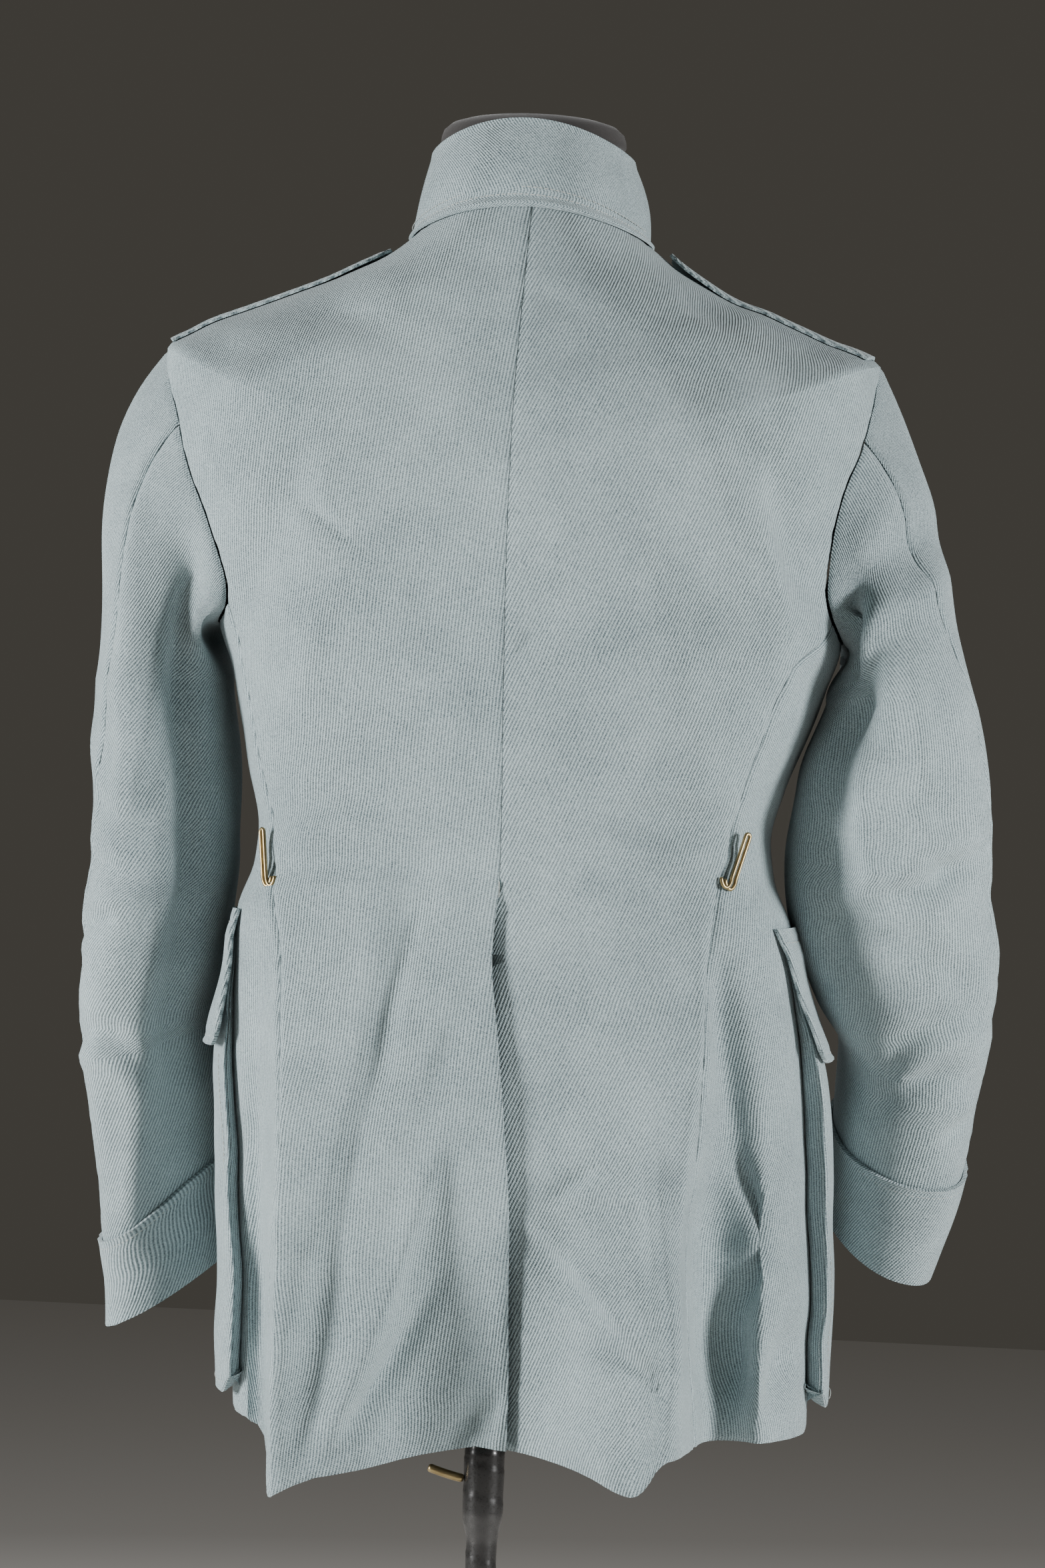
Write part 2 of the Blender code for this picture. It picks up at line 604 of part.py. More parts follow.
def hind_turn(side, along):
    places = [row[0] for row in HIND_SEAM[side]]
    return smooth_table((np.asarray(along) + 1) / 2, places, [row[1] for row in HIND_SEAM[side]])


def cuff_start(side):
    """How far along the arm the cuff's upper edge lies."""
    rows = SLEEVE_ROWS[side]
    return 1 - CUFF_DEPTH * 0.97 / (rows[0][0] - rows[-1][0])


def cuff_rows(side):
    return np.linspace(cuff_start(side), 1, 4)


def build_sleeve(side):
    """The top sleeve and the under sleeve, joined at the hind-arm and fore-arm seams."""
    head = -np.linspace(1, 0, HEAD_ROWS) ** 1.15
    along = np.concatenate([head, np.linspace(0, cuff_start(side), 10)[1:], cuff_rows(side)[1:]])
    hind = hind_turn(side, along)
    word = "left" if side > 0 else "right"
    share = np.linspace(0, 1, SLEEVE_COLUMNS)
    for kind in ("top", "under"):
        if kind == "top":
            first = np.full(len(along), FORE_SEAM - 360 + SEAM_TURN)
            last = hind - SEAM_TURN
        else:
            first = hind + SEAM_TURN
            last = np.full(len(along), FORE_SEAM - SEAM_TURN)
        turns = first[:, None] + (last - first)[:, None] * share[None, :]
        ways = np.repeat(along[:, None], SLEEVE_COLUMNS, axis=1)
        outer = off_sleeve(side, turns, ways, 0.0 * turns)
        inner = off_sleeve(side, turns, ways, 0.0 * turns - CLOTH)
        name = f"{kind}_sleeve_{word}"
        wall(name, outer, inner, cloth(name))


def build_cuff(side):
    """The deep turned-back cuff, a tube over the end of its sleeve, open at both ends."""
    along = cuff_rows(side)
    hind = hind_turn(side, along)[:, None]
    share = np.linspace(0, 1, SLEEVE_COLUMNS)[None, :-1]
    fore = FORE_SEAM - 360
    turns = np.concatenate([fore + (hind - fore) * share, hind + (FORE_SEAM - hind) * share], axis=1)
    ways = np.repeat(along[:, None], turns.shape[1], axis=1)
    inner = off_sleeve(side, turns, ways, 0 * ways + GAP)
    outer = off_sleeve(side, turns, ways, 0 * ways + GAP + CLOTH)
    name = "cuff_left" if side > 0 else "cuff_right"
    return wall(name, outer, inner, cloth(name), ring=True)


def rear_angle(level, side):
    return by_level(REAR_EDGE, level, 1 if side > 0 else 2)


def panel_angle(level, side, forward):
    """The angle of a point of the front, by its way forward along the cloth from the pocket's rear edge."""
    half = body_value("left" if side > 0 else "right", level)
    arc = (half + body_value("front", level)) / 2 * 1.12
    return side * (rear_angle(level, side) + np.degrees(forward / arc))


def pocket_lift(level, side):
    """How far the pocket's outside stands off the skirt."""
    return 0.0030 + (POCKET_STAND[side] - 0.0030) * eased((POCKET_TOP - level) / 0.085)


def build_pocket(side):
    """The bellows pocket: an outer leaf whose gusset turns under at the rear, foot and front."""
    columns = [(0.009, 0.0), (0.0, 1.0), (0.004, 1.0)]
    columns += [(forward, 1.0) for forward in np.linspace(0.026, POCKET_WIDTH - 0.026, 6)]
    columns += [(POCKET_WIDTH - 0.004, 1.0), (POCKET_WIDTH, 1.0), (POCKET_WIDTH - 0.009, 0.0)]
    levels = list(POCKET_LEVELS) + [POCKET_FOOT + rise for rise in (0.020, 0.004, 0.0, 0.007)]
    heights = [1.0] * (len(levels) - 1) + [0.0]
    outer, inner = [], []
    for level, up in zip(levels, heights):
        outer_row, inner_row = [], []
        for place, (forward, high) in enumerate(columns):
            lifted = min(high, up)
            stand = float(pocket_lift(level, side)) * lifted + SEAT * (1 - lifted)
            inward = 0.0022 if place < 2 else -0.0022 if place > len(columns) - 3 else 0.0
            lower = 0.0024 if up < 1 or level < POCKET_FOOT + 0.002 else 0.0
            corner = 0.010 * (place < 2 or place > len(columns) - 3) * (level < POCKET_FOOT + 0.012)
            rise = corner if up == 1.0 else 0.0
            base_level = level + rise
            outer_row.append(off_body(panel_angle(base_level, side, forward), base_level, stand))
            inside = stand - CLOTH if lifted else SEAT
            inner_level = base_level + lower
            inner_row.append(off_body(panel_angle(inner_level, side, forward + inward), inner_level, inside))
        outer.append(outer_row)
        inner.append(inner_row)
    name = "pocket_left" if side > 0 else "pocket_right"
    return wall(name, np.array(outer), np.array(inner), cloth(name))


def build_flap(side):
    """The pocket's flap, sewn along its top and standing off at its foot."""
    forward = np.linspace(-FLAP_OVERHANG, POCKET_WIDTH + FLAP_OVERHANG, 9)
    levels = np.array([FLAP_TOP, -0.042, -0.050, -0.058, -0.070, -0.090, FLAP_FOOT])
    places, heights = np.meshgrid(forward, levels)
    edge = np.minimum((places + FLAP_OVERHANG), (POCKET_WIDTH + FLAP_OVERHANG - places)) / 0.012
    corner = 1 - np.clip(edge, 0, 1)
    low = np.clip((-0.090 - heights) / 0.02, 0, 1)
    heights = heights + 0.009 * corner * low
    angles = panel_angle(heights, side, places)
    clear = pocket_lift(heights, side) + 2 * GAP
    near_top = np.clip((FLAP_TOP - heights) / 0.016, 0, 1)
    inside = SEAT + (clear - SEAT) * near_top
    spare = FLAP_STAND[side] - CLOTH - POCKET_STAND[side] - 2 * GAP
    inside = inside + spare * eased((-0.06 - heights) / 0.05)
    name = "flap_left" if side > 0 else "flap_right"
    outer = off_body(angles, heights, inside + CLOTH)
    return wall(name, outer, off_body(angles, heights, inside), cloth(name))


def collar_point(angle, up):
    """Points of the collar's outside, up from its foot at 0 to its top at 1."""
    turn = np.radians(angle)
    sine, cosine = np.sin(turn), np.cos(turn)
    end = np.where(cosine >= 0, "back", "front")
    point = []
    for sizes in (COLLAR_FOOT, COLLAR_TOP):
        reach = np.where(end == "back", sizes["back"], sizes["front"])
        height = np.where(end == "back", sizes["back_z"], sizes["front_z"])
        point.append(np.stack([sizes["side"] * sine + COLLAR_SHIFT_X, 0.005 + reach * cosine,
                               WAIST_Z + sizes["side_z"] + (height - sizes["side_z"]) * cosine**2], axis=-1))
    up = np.asarray(up)[..., None]
    swell = 0.0022 * np.sin(math.pi * np.clip(up, 0, 1))
    outward = np.stack([sine, cosine, 0 * sine], axis=-1)
    return point[0] + (point[1] - point[0]) * up + outward * swell


def build_collar():
    """The collar's stand, and its fall, which rolls over the stand's top."""
    angles = np.linspace(-180 + COLLAR_OPENING / 2, 180 - COLLAR_OPENING / 2, 27)
    outward = np.stack([np.sin(np.radians(angles)), np.cos(np.radians(angles)), 0 * angles], axis=-1)
    foot = 0 * angles + COLLAR_FOOT_LEVEL
    lift = lap_lift(angles, foot) + GAP
    fall_outer = [off_body(angles, foot, SEAT + lift)]
    fall_inner = [off_body(angles, foot + 0.0016, SEAT + lift)]
    for up in (0.14, 0.36, 0.6, 0.82, 0.95):
        row = collar_point(angles, np.full(len(angles), up))
        fall_outer.append(row)
        fall_inner.append(row - outward * CLOTH)
    top = collar_point(angles, np.ones(len(angles)))
    # The roll: how far in and down the outside and the inside of the cloth go over the top
    for out_in, out_down, in_in, in_down in COLLAR_ROLL_ROWS:
        fall_outer.append(top - outward * out_in - np.array([0, 0, out_down]))
        fall_inner.append(top - outward * in_in - np.array([0, 0, in_down]))
    wall("collar_fall", np.array(fall_outer), np.array(fall_inner), cloth("collar_fall"))
    stand_outer, stand_inner = [], []
    last = COLLAR_ROLL_ROWS[-1]
    high = top - outward * last[2] - np.array([0, 0, last[3] + GAP])
    low = off_body(angles, 0 * angles + NECK_LEVEL, lift - 0.0006) + np.array([0, 0, 0.0014])
    for share in np.linspace(0, 1, 4):
        row = low + (high - low) * share
        stand_outer.append(row)
        stand_inner.append(row - outward * CLOTH)
    wall("collar_stand", np.array(stand_outer), np.array(stand_inner), cloth("collar_stand"))


def build_strap(side):
    """A shoulder strap along the ridge of the shoulder, its collar end pointed and lifting a little."""
    levels = np.array([0.303, 0.3065, 0.311, 0.318, 0.3255, 0.333, 0.341, 0.348, 0.3545, 0.3590])
    share = np.linspace(-1, 1, 7)
    widths = STRAP_HALF * np.array([1, 1, 1, 1, 1, 1, 1, 1, 0.86, 0.45])
    rise = STRAP_RISE + (0.0028 if side < 0 else 0.0012) * eased((levels - 0.335) / 0.02)
    outer, inner = [], []
    for level, width, lift in zip(levels, widths, rise):
        reach = 0.5 * (body_value("back", level) + body_value("front", level))
        turns = np.degrees(np.arcsin(np.clip(share * width / reach, -1, 1)))
        angles = side * (90.0 + turns)
        # The row keeps one distance out along the shoulder, so it stays flat across the ridge
        outer.append(off_body(angles, level + 0 * angles, 0 * angles + lift + CLOTH))
        inner.append(off_body(angles, level + 0 * angles, 0 * angles + lift))
    name = "strap_left" if side > 0 else "strap_right"
    return wall(name, np.array(outer), np.array(inner), cloth(name))


def tube(name, points, radius, finish, sides_resolution=1, closed=False):
    """A round bar along points."""
    curve = bpy.data.curves.new(name, "CURVE")
    curve.dimensions = "3D"
    curve.bevel_depth = radius
    curve.bevel_resolution = sides_resolution
    curve.use_fill_caps = True
    spline = curve.splines.new("POLY")
    spline.points.add(len(points) - 1)
    for place, point in zip(spline.points, points):
        place.co = (*point, 1.0)
    spline.use_cyclic_u = closed
    curve.materials.append(finish)
    thing = bpy.data.objects.new(name, curve)
    bpy.context.scene.collection.objects.link(thing)
    return thing


# Each belt hook: the level where it leaves its seam, its bend's lean to the side, and the lean of its stem
HOOK_ROWS = {
    1: {"root": -0.014, "bend": 0.0055, "stem": 0.0255, "lean": 0.0025},
    -1: {"root": -0.005, "bend": 0.0060, "stem": 0.0245, "lean": 0.0085},
}
HOOK_WIRE = 0.00115
HOOK_HALF = 0.0016


def build_hook(side):
    """A brass belt hook: one wire doubled, out of the side-back seam, round under and up again."""
    sizes = HOOK_ROWS[side]
    root = float(seam_angle(sizes["root"], side))
    normal = body_normal(np.array(root), np.array(sizes["root"]))
    anchor = body_point(np.array(root), np.array(sizes["root"]))
    across = unit(np.cross(np.array([0.0, 0.0, 1.0]), normal)) * side
    if across[0] * side < 0:
        across = -across
    up = np.array([0.0, 0.0, 1.0])
    path = []
    for step in range(6):
        turn = math.pi * step / 5
        path.append((sizes["bend"] / 2 * (1 - math.cos(turn)), -0.0055 * math.sin(turn),
                     0.0016 + 0.0022 * step / 5))
    for step in range(1, 5):
        path.append((sizes["bend"] + sizes["lean"] * step / 4, sizes["stem"] * step / 4,
                     0.0038 + 0.001 * step / 4))
    lane = unit(np.array([sizes["lean"], sizes["stem"]]))
    side_step = np.array([lane[1], -lane[0]]) * HOOK_HALF

    def place(right, rise, out):
        return anchor + across * right + up * rise + normal * out

    first = [place(right - side_step[0], rise - side_step[1], out) for right, rise, out in path]
    second = [place(right + side_step[0], rise + side_step[1], out) for right, rise, out in path]
    end = path[-1]
    tip = place(end[0] + lane[0] * HOOK_HALF, end[1] + lane[1] * HOOK_HALF, end[2])
    name = "hook_left" if side > 0 else "hook_right"
    brass = material(name + "_brass", (0.62, 0.47, 0.20), 0.3, 1.0)
    return tube(name, first + [tip] + second[::-1], HOOK_WIRE, brass, 1)


def build_buttons():
    """Plain domed buttons down the left front's edge, 0.3 mm off the cloth."""
    brass = material("button_brass", (0.62, 0.47, 0.20), 0.35, 1.0)
    profile = [(0.0, 0.0), (BUTTON_RADIUS * 0.62, 0.0), (BUTTON_RADIUS, 0.0018),
               (BUTTON_RADIUS * 0.93, 0.0032),
               (BUTTON_RADIUS * 0.55, 0.0052), (0.0, 0.0058)]
    for number, level in enumerate(BUTTON_LEVELS, 1):
        angle, height = np.array(180.0), np.array(level)
        normal = body_normal(angle, height)
        seat = off_body(angle, height, CLOTH + 4 * GAP)
        button = lathe(f"button_{number}", profile, brass, sides=10)
        turn = Vector((0, 0, 1)).rotation_difference(Vector(normal)).to_matrix().to_4x4()
        button.data.transform(Matrix.Translation(Vector(seat)) @ turn)


def build_form():
    """The limbless form: the worn surface moved in, with flat sides at the arms, and its neck and cap."""
    black = material("form_black_cloth", FORM_BLACK, 0.9)
    turns = np.arange(0, 360, 360 / 28)
    levels = np.array([-0.190, -0.150, -0.100, -0.050, 0.000, 0.050, 0.100, 0.160, 0.220, 0.265, 0.295,
                       0.310, 0.325, 0.340, 0.352, 0.362, 0.368])
    inset = np.array([0.024, 0.020, 0.014, 0.009, 0.008, 0.008, 0.008, 0.008, 0.007, 0.005, 0.004,
                      0.0040, 0.0045, 0.0045, 0.0045, 0.0050, 0.008])
    rings = []
    for level, move in zip(levels, inset):
        smooth_level = np.full(len(turns), level)
        chest = 0.0016 * (np.cos(np.radians(turns)) < -0.1)
        ring = off_body(turns, smooth_level, -move - chest)
        limit = FORM_HALF
        over = np.abs(ring[:, 0]) - (limit - 0.018)
        soft = limit - 0.018 + 0.018 * np.tanh(np.maximum(over, 0) / 0.018)
        ring[:, 0] = np.where(over > 0, np.sign(ring[:, 0]) * soft, ring[:, 0])
        rings.append(ring)
    neck_level = ((0.386, 0.0535), (0.405, FORM_NECK_HALF), (FORM_NECK_TOP, FORM_NECK_HALF))
    for level, half in neck_level:
        radians = np.radians(turns)
        tilt = 0.014 * np.cos(radians) * (FORM_NECK_TOP - level) / 0.04
        rings.append(np.stack([half * np.sin(radians) + COLLAR_SHIFT_X,
                               NECK_MIDDLE_Y + half * np.cos(radians),
                               WAIST_Z + level + tilt], axis=-1))
    points = np.concatenate(rings)
    count, sides = len(rings), len(turns)
    faces = []
    for i in range(count - 1):
        for j in range(sides):
            after = (j + 1) % sides
            faces.append((i * sides + j, i * sides + after, (i + 1) * sides + after, (i + 1) * sides + j))
    foot_z = float(WAIST_Z + levels[0])
    points[:sides, 2] = foot_z
    points = np.vstack([points, [[0, 0, foot_z], [COLLAR_SHIFT_X, NECK_MIDDLE_Y, WAIST_Z + FORM_NECK_TOP]]])
    for j in range(sides):
        after = (j + 1) % sides
        faces.append((len(points) - 2, after, j))
        faces.append((len(points) - 1, (count - 1) * sides + j, (count - 1) * sides + after))
    object_from("form_torso", points, faces, black)
    low = WAIST_Z + FORM_NECK_TOP + GAP
    high = WAIST_Z + CAP_TOP
    profile = [(0.0, low), (0.052, low), (0.0555, low + 0.003), (0.0545, low + 0.009), (0.046, low + 0.0165),
               (0.030, high - 0.002), (0.0, high)]
    lathe("form_neck_cap", profile, material("cap_black_cloth", FORM_BLACK, 0.9),
          centre=(COLLAR_SHIFT_X, NECK_MIDDLE_Y))


def build_stand():
    """The taped pole, its clamp and brass lever, the foot plate of the form and the round base."""
    tape = material("pole_black_tape", (0.02, 0.018, 0.016), 0.45)
    iron = material("base_black_iron", (0.03, 0.03, 0.032), 0.5, 0.2)
    brass = material("lever_brass", (0.55, 0.42, 0.19), 0.4, 1.0)
    plate_top = WAIST_Z + FORM_FOOT_LEVEL - GAP
    lathe("form_foot_plate", [(0.0, plate_top - 0.018), (0.055, plate_top - 0.018),
                              (0.060, plate_top - 0.013),
                              (0.060, plate_top), (0.0, plate_top)], iron)
    clamp = WAIST_Z + CLAMP_LEVEL
    top = plate_top - 0.018 - GAP
    base_top = BASE_RISE + GAP
    lathe("pole", [(0.0, base_top), (0.0095, base_top), (0.0095, clamp - 0.035), (0.0125, clamp - 0.016),
                   (0.0125, clamp + 0.020), (0.0115, clamp + 0.024), (0.0115, top), (0.0, top)],
          tape, sides=20)
    lever_start, lever_end = 0.0131, 0.032
    tube("clamp_lever", [(lever_start, 0.004, clamp + 0.004), (0.020, 0.004, clamp + 0.006),
                         (lever_end, 0.004, clamp + 0.009)], 0.0026, brass, 2)
    lathe("base", [(0.0, 0.0), (BASE_RADIUS - 0.003, 0.0), (BASE_RADIUS, 0.004),
                   (BASE_RADIUS - 0.004, 0.013),
                   (BASE_RADIUS * 0.55, 0.020), (0.032, 0.028), (0.022, BASE_RISE), (0.0, BASE_RISE)],
          iron, sides=36)


def main():
    clear_scene()
    for side in (1, -1):
        build_back(side)
        build_side(side)
        build_front(side)
        build_sleeve(side)
        build_cuff(side)
        build_pocket(side)
        build_flap(side)
        build_strap(side)
        build_hook(side)
    build_collar()
    build_buttons()
    build_form()
    build_stand()


main()
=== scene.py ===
# %% [markdown]
# # A military tunic on a dress form
#
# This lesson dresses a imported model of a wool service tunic, worn on a limbless form with a stand. The packed
# solids give every piece its place. Here each cut piece of cloth is made again as a thin, finely divided wall
# on the same worn surface, with its creases, seams and twill, and the metal and the stand get their finishes.
# Lengths are in metres, +Z is up, the front faces -Y and the wearer's left is +X.

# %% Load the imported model
import math

import bpy
import numpy as np
from mathutils import Matrix, Vector


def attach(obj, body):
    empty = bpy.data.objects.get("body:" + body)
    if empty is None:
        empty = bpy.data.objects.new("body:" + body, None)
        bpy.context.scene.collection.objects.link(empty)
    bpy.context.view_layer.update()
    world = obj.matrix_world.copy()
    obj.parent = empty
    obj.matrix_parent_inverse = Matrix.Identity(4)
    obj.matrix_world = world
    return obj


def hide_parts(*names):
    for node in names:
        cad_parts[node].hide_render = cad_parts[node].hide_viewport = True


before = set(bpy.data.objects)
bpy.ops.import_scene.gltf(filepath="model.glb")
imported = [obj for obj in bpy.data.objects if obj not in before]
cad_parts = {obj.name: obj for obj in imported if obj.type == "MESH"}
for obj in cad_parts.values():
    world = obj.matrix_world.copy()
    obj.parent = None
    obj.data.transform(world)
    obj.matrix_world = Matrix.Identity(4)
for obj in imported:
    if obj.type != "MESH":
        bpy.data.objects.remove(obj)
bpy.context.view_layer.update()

# %% [markdown]
# The camera comes first, so that every later look is judged from the photograph's place. The tunic is seen
# from the back, 5.5 degrees round towards its right, by a lens level with the upper skirt. The camera leans
# by 2 degrees, so the garment leans in the picture, and the lens is chosen so 0.4 mm fills a pixel.

# %% Camera
WAIST_Z = 1.060
VIEW_TURN = math.radians(5.5)
VIEW_ROLL = math.atan2(77, 2130)
VIEW_DISTANCE = 2.5
VIEW_ASIDE, VIEW_ABOVE_WAIST = 0.0082, 0.0459
PICTURE_HEIGHT, PIXEL_SIZE = 2352, 0.0004
SENSOR_HEIGHT = 36.0
towards = Vector((-math.sin(VIEW_TURN), math.cos(VIEW_TURN), 0.0))
right_hand = Vector((-math.cos(VIEW_TURN), -math.sin(VIEW_TURN), 0.0))
upright = Vector((0.0, 0.0, 1.0))
camera_right = right_hand * math.cos(VIEW_ROLL) + upright * math.sin(VIEW_ROLL)
camera_up = upright * math.cos(VIEW_ROLL) - right_hand * math.sin(VIEW_ROLL)
camera_data = bpy.data.cameras.new("camera")
camera_data.sensor_fit = "VERTICAL"
camera_data.sensor_height = SENSOR_HEIGHT
camera_data.lens = SENSOR_HEIGHT * VIEW_DISTANCE / (PICTURE_HEIGHT * PIXEL_SIZE)
camera = bpy.data.objects.new("camera", camera_data)
bpy.context.scene.collection.objects.link(camera)
camera.matrix_world = Matrix.Translation(
    towards * VIEW_DISTANCE + right_hand * VIEW_ASIDE + upright * (WAIST_Z + VIEW_ABOVE_WAIST)
) @ Matrix((camera_right, camera_up, towards)).transposed().to_4x4()
bpy.context.scene.camera = camera
print("lens:", round(camera_data.lens, 1), "mm")

# %% [markdown]
# The worn shape is a body lofted through measured rows. A row gives the height at the centre back and front,
# the half widths, the depth and how square the section is. Hand-cut dress patterns work the same way: a few
# measured levels and a smooth curve between them. The folds of the skirt are ridges pushed out of that body.

# %% Sizes of the worn body
CLOTH = 0.002
GAP = 0.0003
HEM_LEVEL = -0.345
ARMPIT_LEVEL = 0.135
TIP_LEVEL = 0.300
NECK_LEVEL = 0.370
STEP = 0.0005
BODY_COLUMNS = (
    "level", "back_z", "front_z", "left", "right", "middle", "back", "front", "power",
)
BODY_ROWS = (
    (-0.345, -0.345, -0.345, 0.153, 0.190, -0.004, 0.116, 0.136, 2.6),
    (-0.250, -0.250, -0.250, 0.153, 0.189, -0.003, 0.116, 0.134, 2.6),
    (-0.150, -0.150, -0.150, 0.157, 0.184, -0.002, 0.114, 0.131, 2.6),
    (-0.080, -0.080, -0.080, 0.159, 0.176, 0.000, 0.111, 0.125, 2.6),
    (-0.035, -0.035, -0.035, 0.158, 0.171, 0.000, 0.108, 0.119, 2.7),
    (-0.005, -0.005, -0.005, 0.150, 0.160, 0.000, 0.106, 0.113, 2.7),
    (0.015, 0.015, 0.015, 0.149, 0.158, 0.000, 0.107, 0.113, 2.7),
    (0.050, 0.050, 0.050, 0.156, 0.166, 0.000, 0.113, 0.117, 2.6),
    (0.090, 0.090, 0.090, 0.165, 0.182, 0.000, 0.121, 0.123, 2.5),
    (0.140, 0.140, 0.140, 0.178, 0.197, 0.000, 0.130, 0.127, 2.4),
    (0.200, 0.183, 0.178, 0.198, 0.208, 0.000, 0.134, 0.128, 2.3),
    (0.250, 0.214, 0.207, 0.210, 0.213, 0.002, 0.131, 0.128, 2.2),
    (0.300, 0.243, 0.235, 0.213, 0.213, 0.005, 0.124, 0.125, 2.1),
    (0.310, 0.262, 0.250, 0.1965, 0.185, 0.006, 0.1195, 0.118, 2.0),
    (0.325, 0.294, 0.270, 0.1640, 0.151, 0.008, 0.1085, 0.107, 2.0),
    (0.340, 0.325, 0.286, 0.1215, 0.1155, 0.008, 0.0965, 0.095, 2.0),
    (0.352, 0.350, 0.297, 0.0930, 0.0925, 0.007, 0.0865, 0.085, 2.0),
    (0.362, 0.371, 0.306, 0.0765, 0.0785, 0.006, 0.078, 0.075, 2.0),
    (0.370, 0.388, 0.313, 0.0665, 0.0675, 0.006, 0.067, 0.063, 2.0),
)
# Folds of the back skirt: the side, the place across at the waist and hem, the widths in degrees towards the
# centre and the side, the height at the hem, the level where it starts, and 1 for a sharp pleat
FOLD_ROWS = (
    (1, 0.1205, 0.1095, 30.0, 10.0, 0.043, -0.015, 1),
    (1, 0.138, 0.1255, 9.0, 9.0, -0.012, -0.030, 0),
    (-1, 0.126, 0.1150, 30.0, 9.0, 0.034, -0.030, 0),
    (-1, 0.138, 0.139, 8.0, 18.0, -0.032, -0.035, 0),
    (1, 0.000, 0.010, 30.0, 26.0, -0.026, -0.040, 0),
    (1, 0.060, 0.062, 12.0, 12.0, 0.004, -0.120, 0),
    (-1, 0.070, 0.066, 12.0, 12.0, 0.003, -0.150, 0),
)
print("body rows:", len(BODY_ROWS), "folds:", len(FOLD_ROWS))

# %% Where the cut edges run
SIDE_BACK_SEAM = (
    (-0.345, 0.1135, 0.131),
    (-0.250, 0.119, 0.130),
    (-0.150, 0.117, 0.129),
    (-0.060, 0.119, 0.130),
    (-0.015, 0.128, 0.132),
    (0.022, 0.133, 0.139),
    (0.050, 0.140, 0.146),
    (0.078, 0.1475, 0.155),
    (0.100, 0.154, 0.163),
    (0.120, 0.159, 0.172),
    (0.146, 0.1655, 0.187),
)
VENT_EDGE = (
    (-0.345, -0.0225),
    (-0.300, -0.0220),
    (-0.250, -0.0200),
    (-0.200, -0.0187),
    (-0.150, -0.0149),
    (-0.100, -0.0107),
    (-0.050, -0.0085),
    (-0.014, -0.0074),
)
CENTRE_SEAM_X = -0.0070
COLLAR_SHIFT_X = -0.0020
VENT_TOP = -0.016
VENT_UNDERLAP = 0.024
SIDE_FRONT_SEAM = 104.0
FRONT_LAP = 0.020
# The hem's height by angle round the body, on the wearer's left and right
HEM_ROWS = (
    (0.0, -0.340, -0.338),
    (15.0, -0.349, -0.346),
    (25.0, -0.354, -0.3555),
    (27.5, -0.355, -0.351),
    (30.0, -0.357, -0.340),
    (32.5, -0.359, -0.335),
    (45.0, -0.368, -0.333),
    (53.0, -0.336, -0.332),
    (60.0, -0.332, -0.332),
    (90.0, -0.331, -0.333),
    (180.0, -0.343, -0.343),
)
# The armhole by turn round it: the angle of its back edge on the left and right, and of its front edge
ARMHOLE_ROWS = (
    (0.0, 90.0, 90.0, 90.0),
    (20.0, 86.0, 87.0, 93.5),
    (40.0, 77.5, 82.0, 100.0),
    (65.0, 69.5, 74.0, 109.0),
    (90.0, 64.5, 67.5, 115.0),
    (110.0, 62.0, 66.0, 118.0),
    (130.0, 61.5, 67.5, 118.0),
    (150.0, 65.0, 74.0, 114.0),
    (165.0, 74.0, 81.0, 105.0),
    (180.0, 90.0, 90.0, 90.0),
)
SIDE_TOP_TURN = 150.0
# A side is 1 on the wearer's left and -1 on the right
WORDS = {1: "left", -1: "right"}
print("seam rows:", len(SIDE_BACK_SEAM), "hem rows:", len(HEM_ROWS))

# %% [markdown]
# Smooth curves through tables carry the whole model. A plain spline would overshoot between rows and give the
# cloth false bulges, so the slopes are held down wherever the table turns.

# %% Smooth tables


def bell(distance, width):
    """1 at no distance, falling to 0 on a smooth hump of a given width."""
    return np.exp(-((distance / width) ** 2))


def smooth_table(at, places, values):
    """A smooth curve through a table, flat beyond its ends, with slopes that never overshoot."""
    places, values = np.asarray(places, float), np.asarray(values, float)
    rise = np.diff(values) / np.diff(places)
    slope = np.zeros_like(values)
    same_way = rise[1:] * rise[:-1] > 0
    both = np.where(same_way, rise[1:] + rise[:-1], 1)
    slope[1:-1] = np.where(same_way, 2 * rise[1:] * rise[:-1] / both, 0)
    slope[0], slope[-1] = rise[0], rise[-1]
    at = np.clip(np.asarray(at, float), places[0], places[-1])
    row = np.clip(np.searchsorted(places, at, side="right") - 1, 0, len(places) - 2)
    span = places[row + 1] - places[row]
    part = (at - places[row]) / span
    return (
        values[row] * (1 + 2 * part) * (1 - part) ** 2
        + slope[row] * span * part * (1 - part) ** 2
        + values[row + 1] * part**2 * (3 - 2 * part)
        + slope[row + 1] * span * part**2 * (part - 1)
    )


def body_value(name, level):
    column = BODY_COLUMNS.index(name)
    return smooth_table(level, [row[0] for row in BODY_ROWS], [row[column] for row in BODY_ROWS])


def by_level(rows, level, column=1):
    """A column of a table whose first column is the level, and whose rows may run up or down."""
    rows = sorted(rows)
    return smooth_table(level, [row[0] for row in rows], [row[column] for row in rows])


def angle_at(across, level):
    """The angle of the point of the back whose distance across, + to the wearer's left, is given."""
    across, level = np.broadcast_arrays(np.asarray(across, float), np.asarray(level, float))
    half = np.where(across >= 0, body_value("left", level), body_value("right", level))
    ratio = np.clip(np.abs(across) / half, 0, 1)
    return np.degrees(np.sign(across) * np.arcsin(ratio ** (body_value("power", level) / 2)))


def eased(value):
    value = np.clip(value, 0, 1)
    return value * value * (3 - 2 * value)

print("half width at the waist:", round(float(body_value("left", 0.0)), 3))

# %% Folds and the body surface


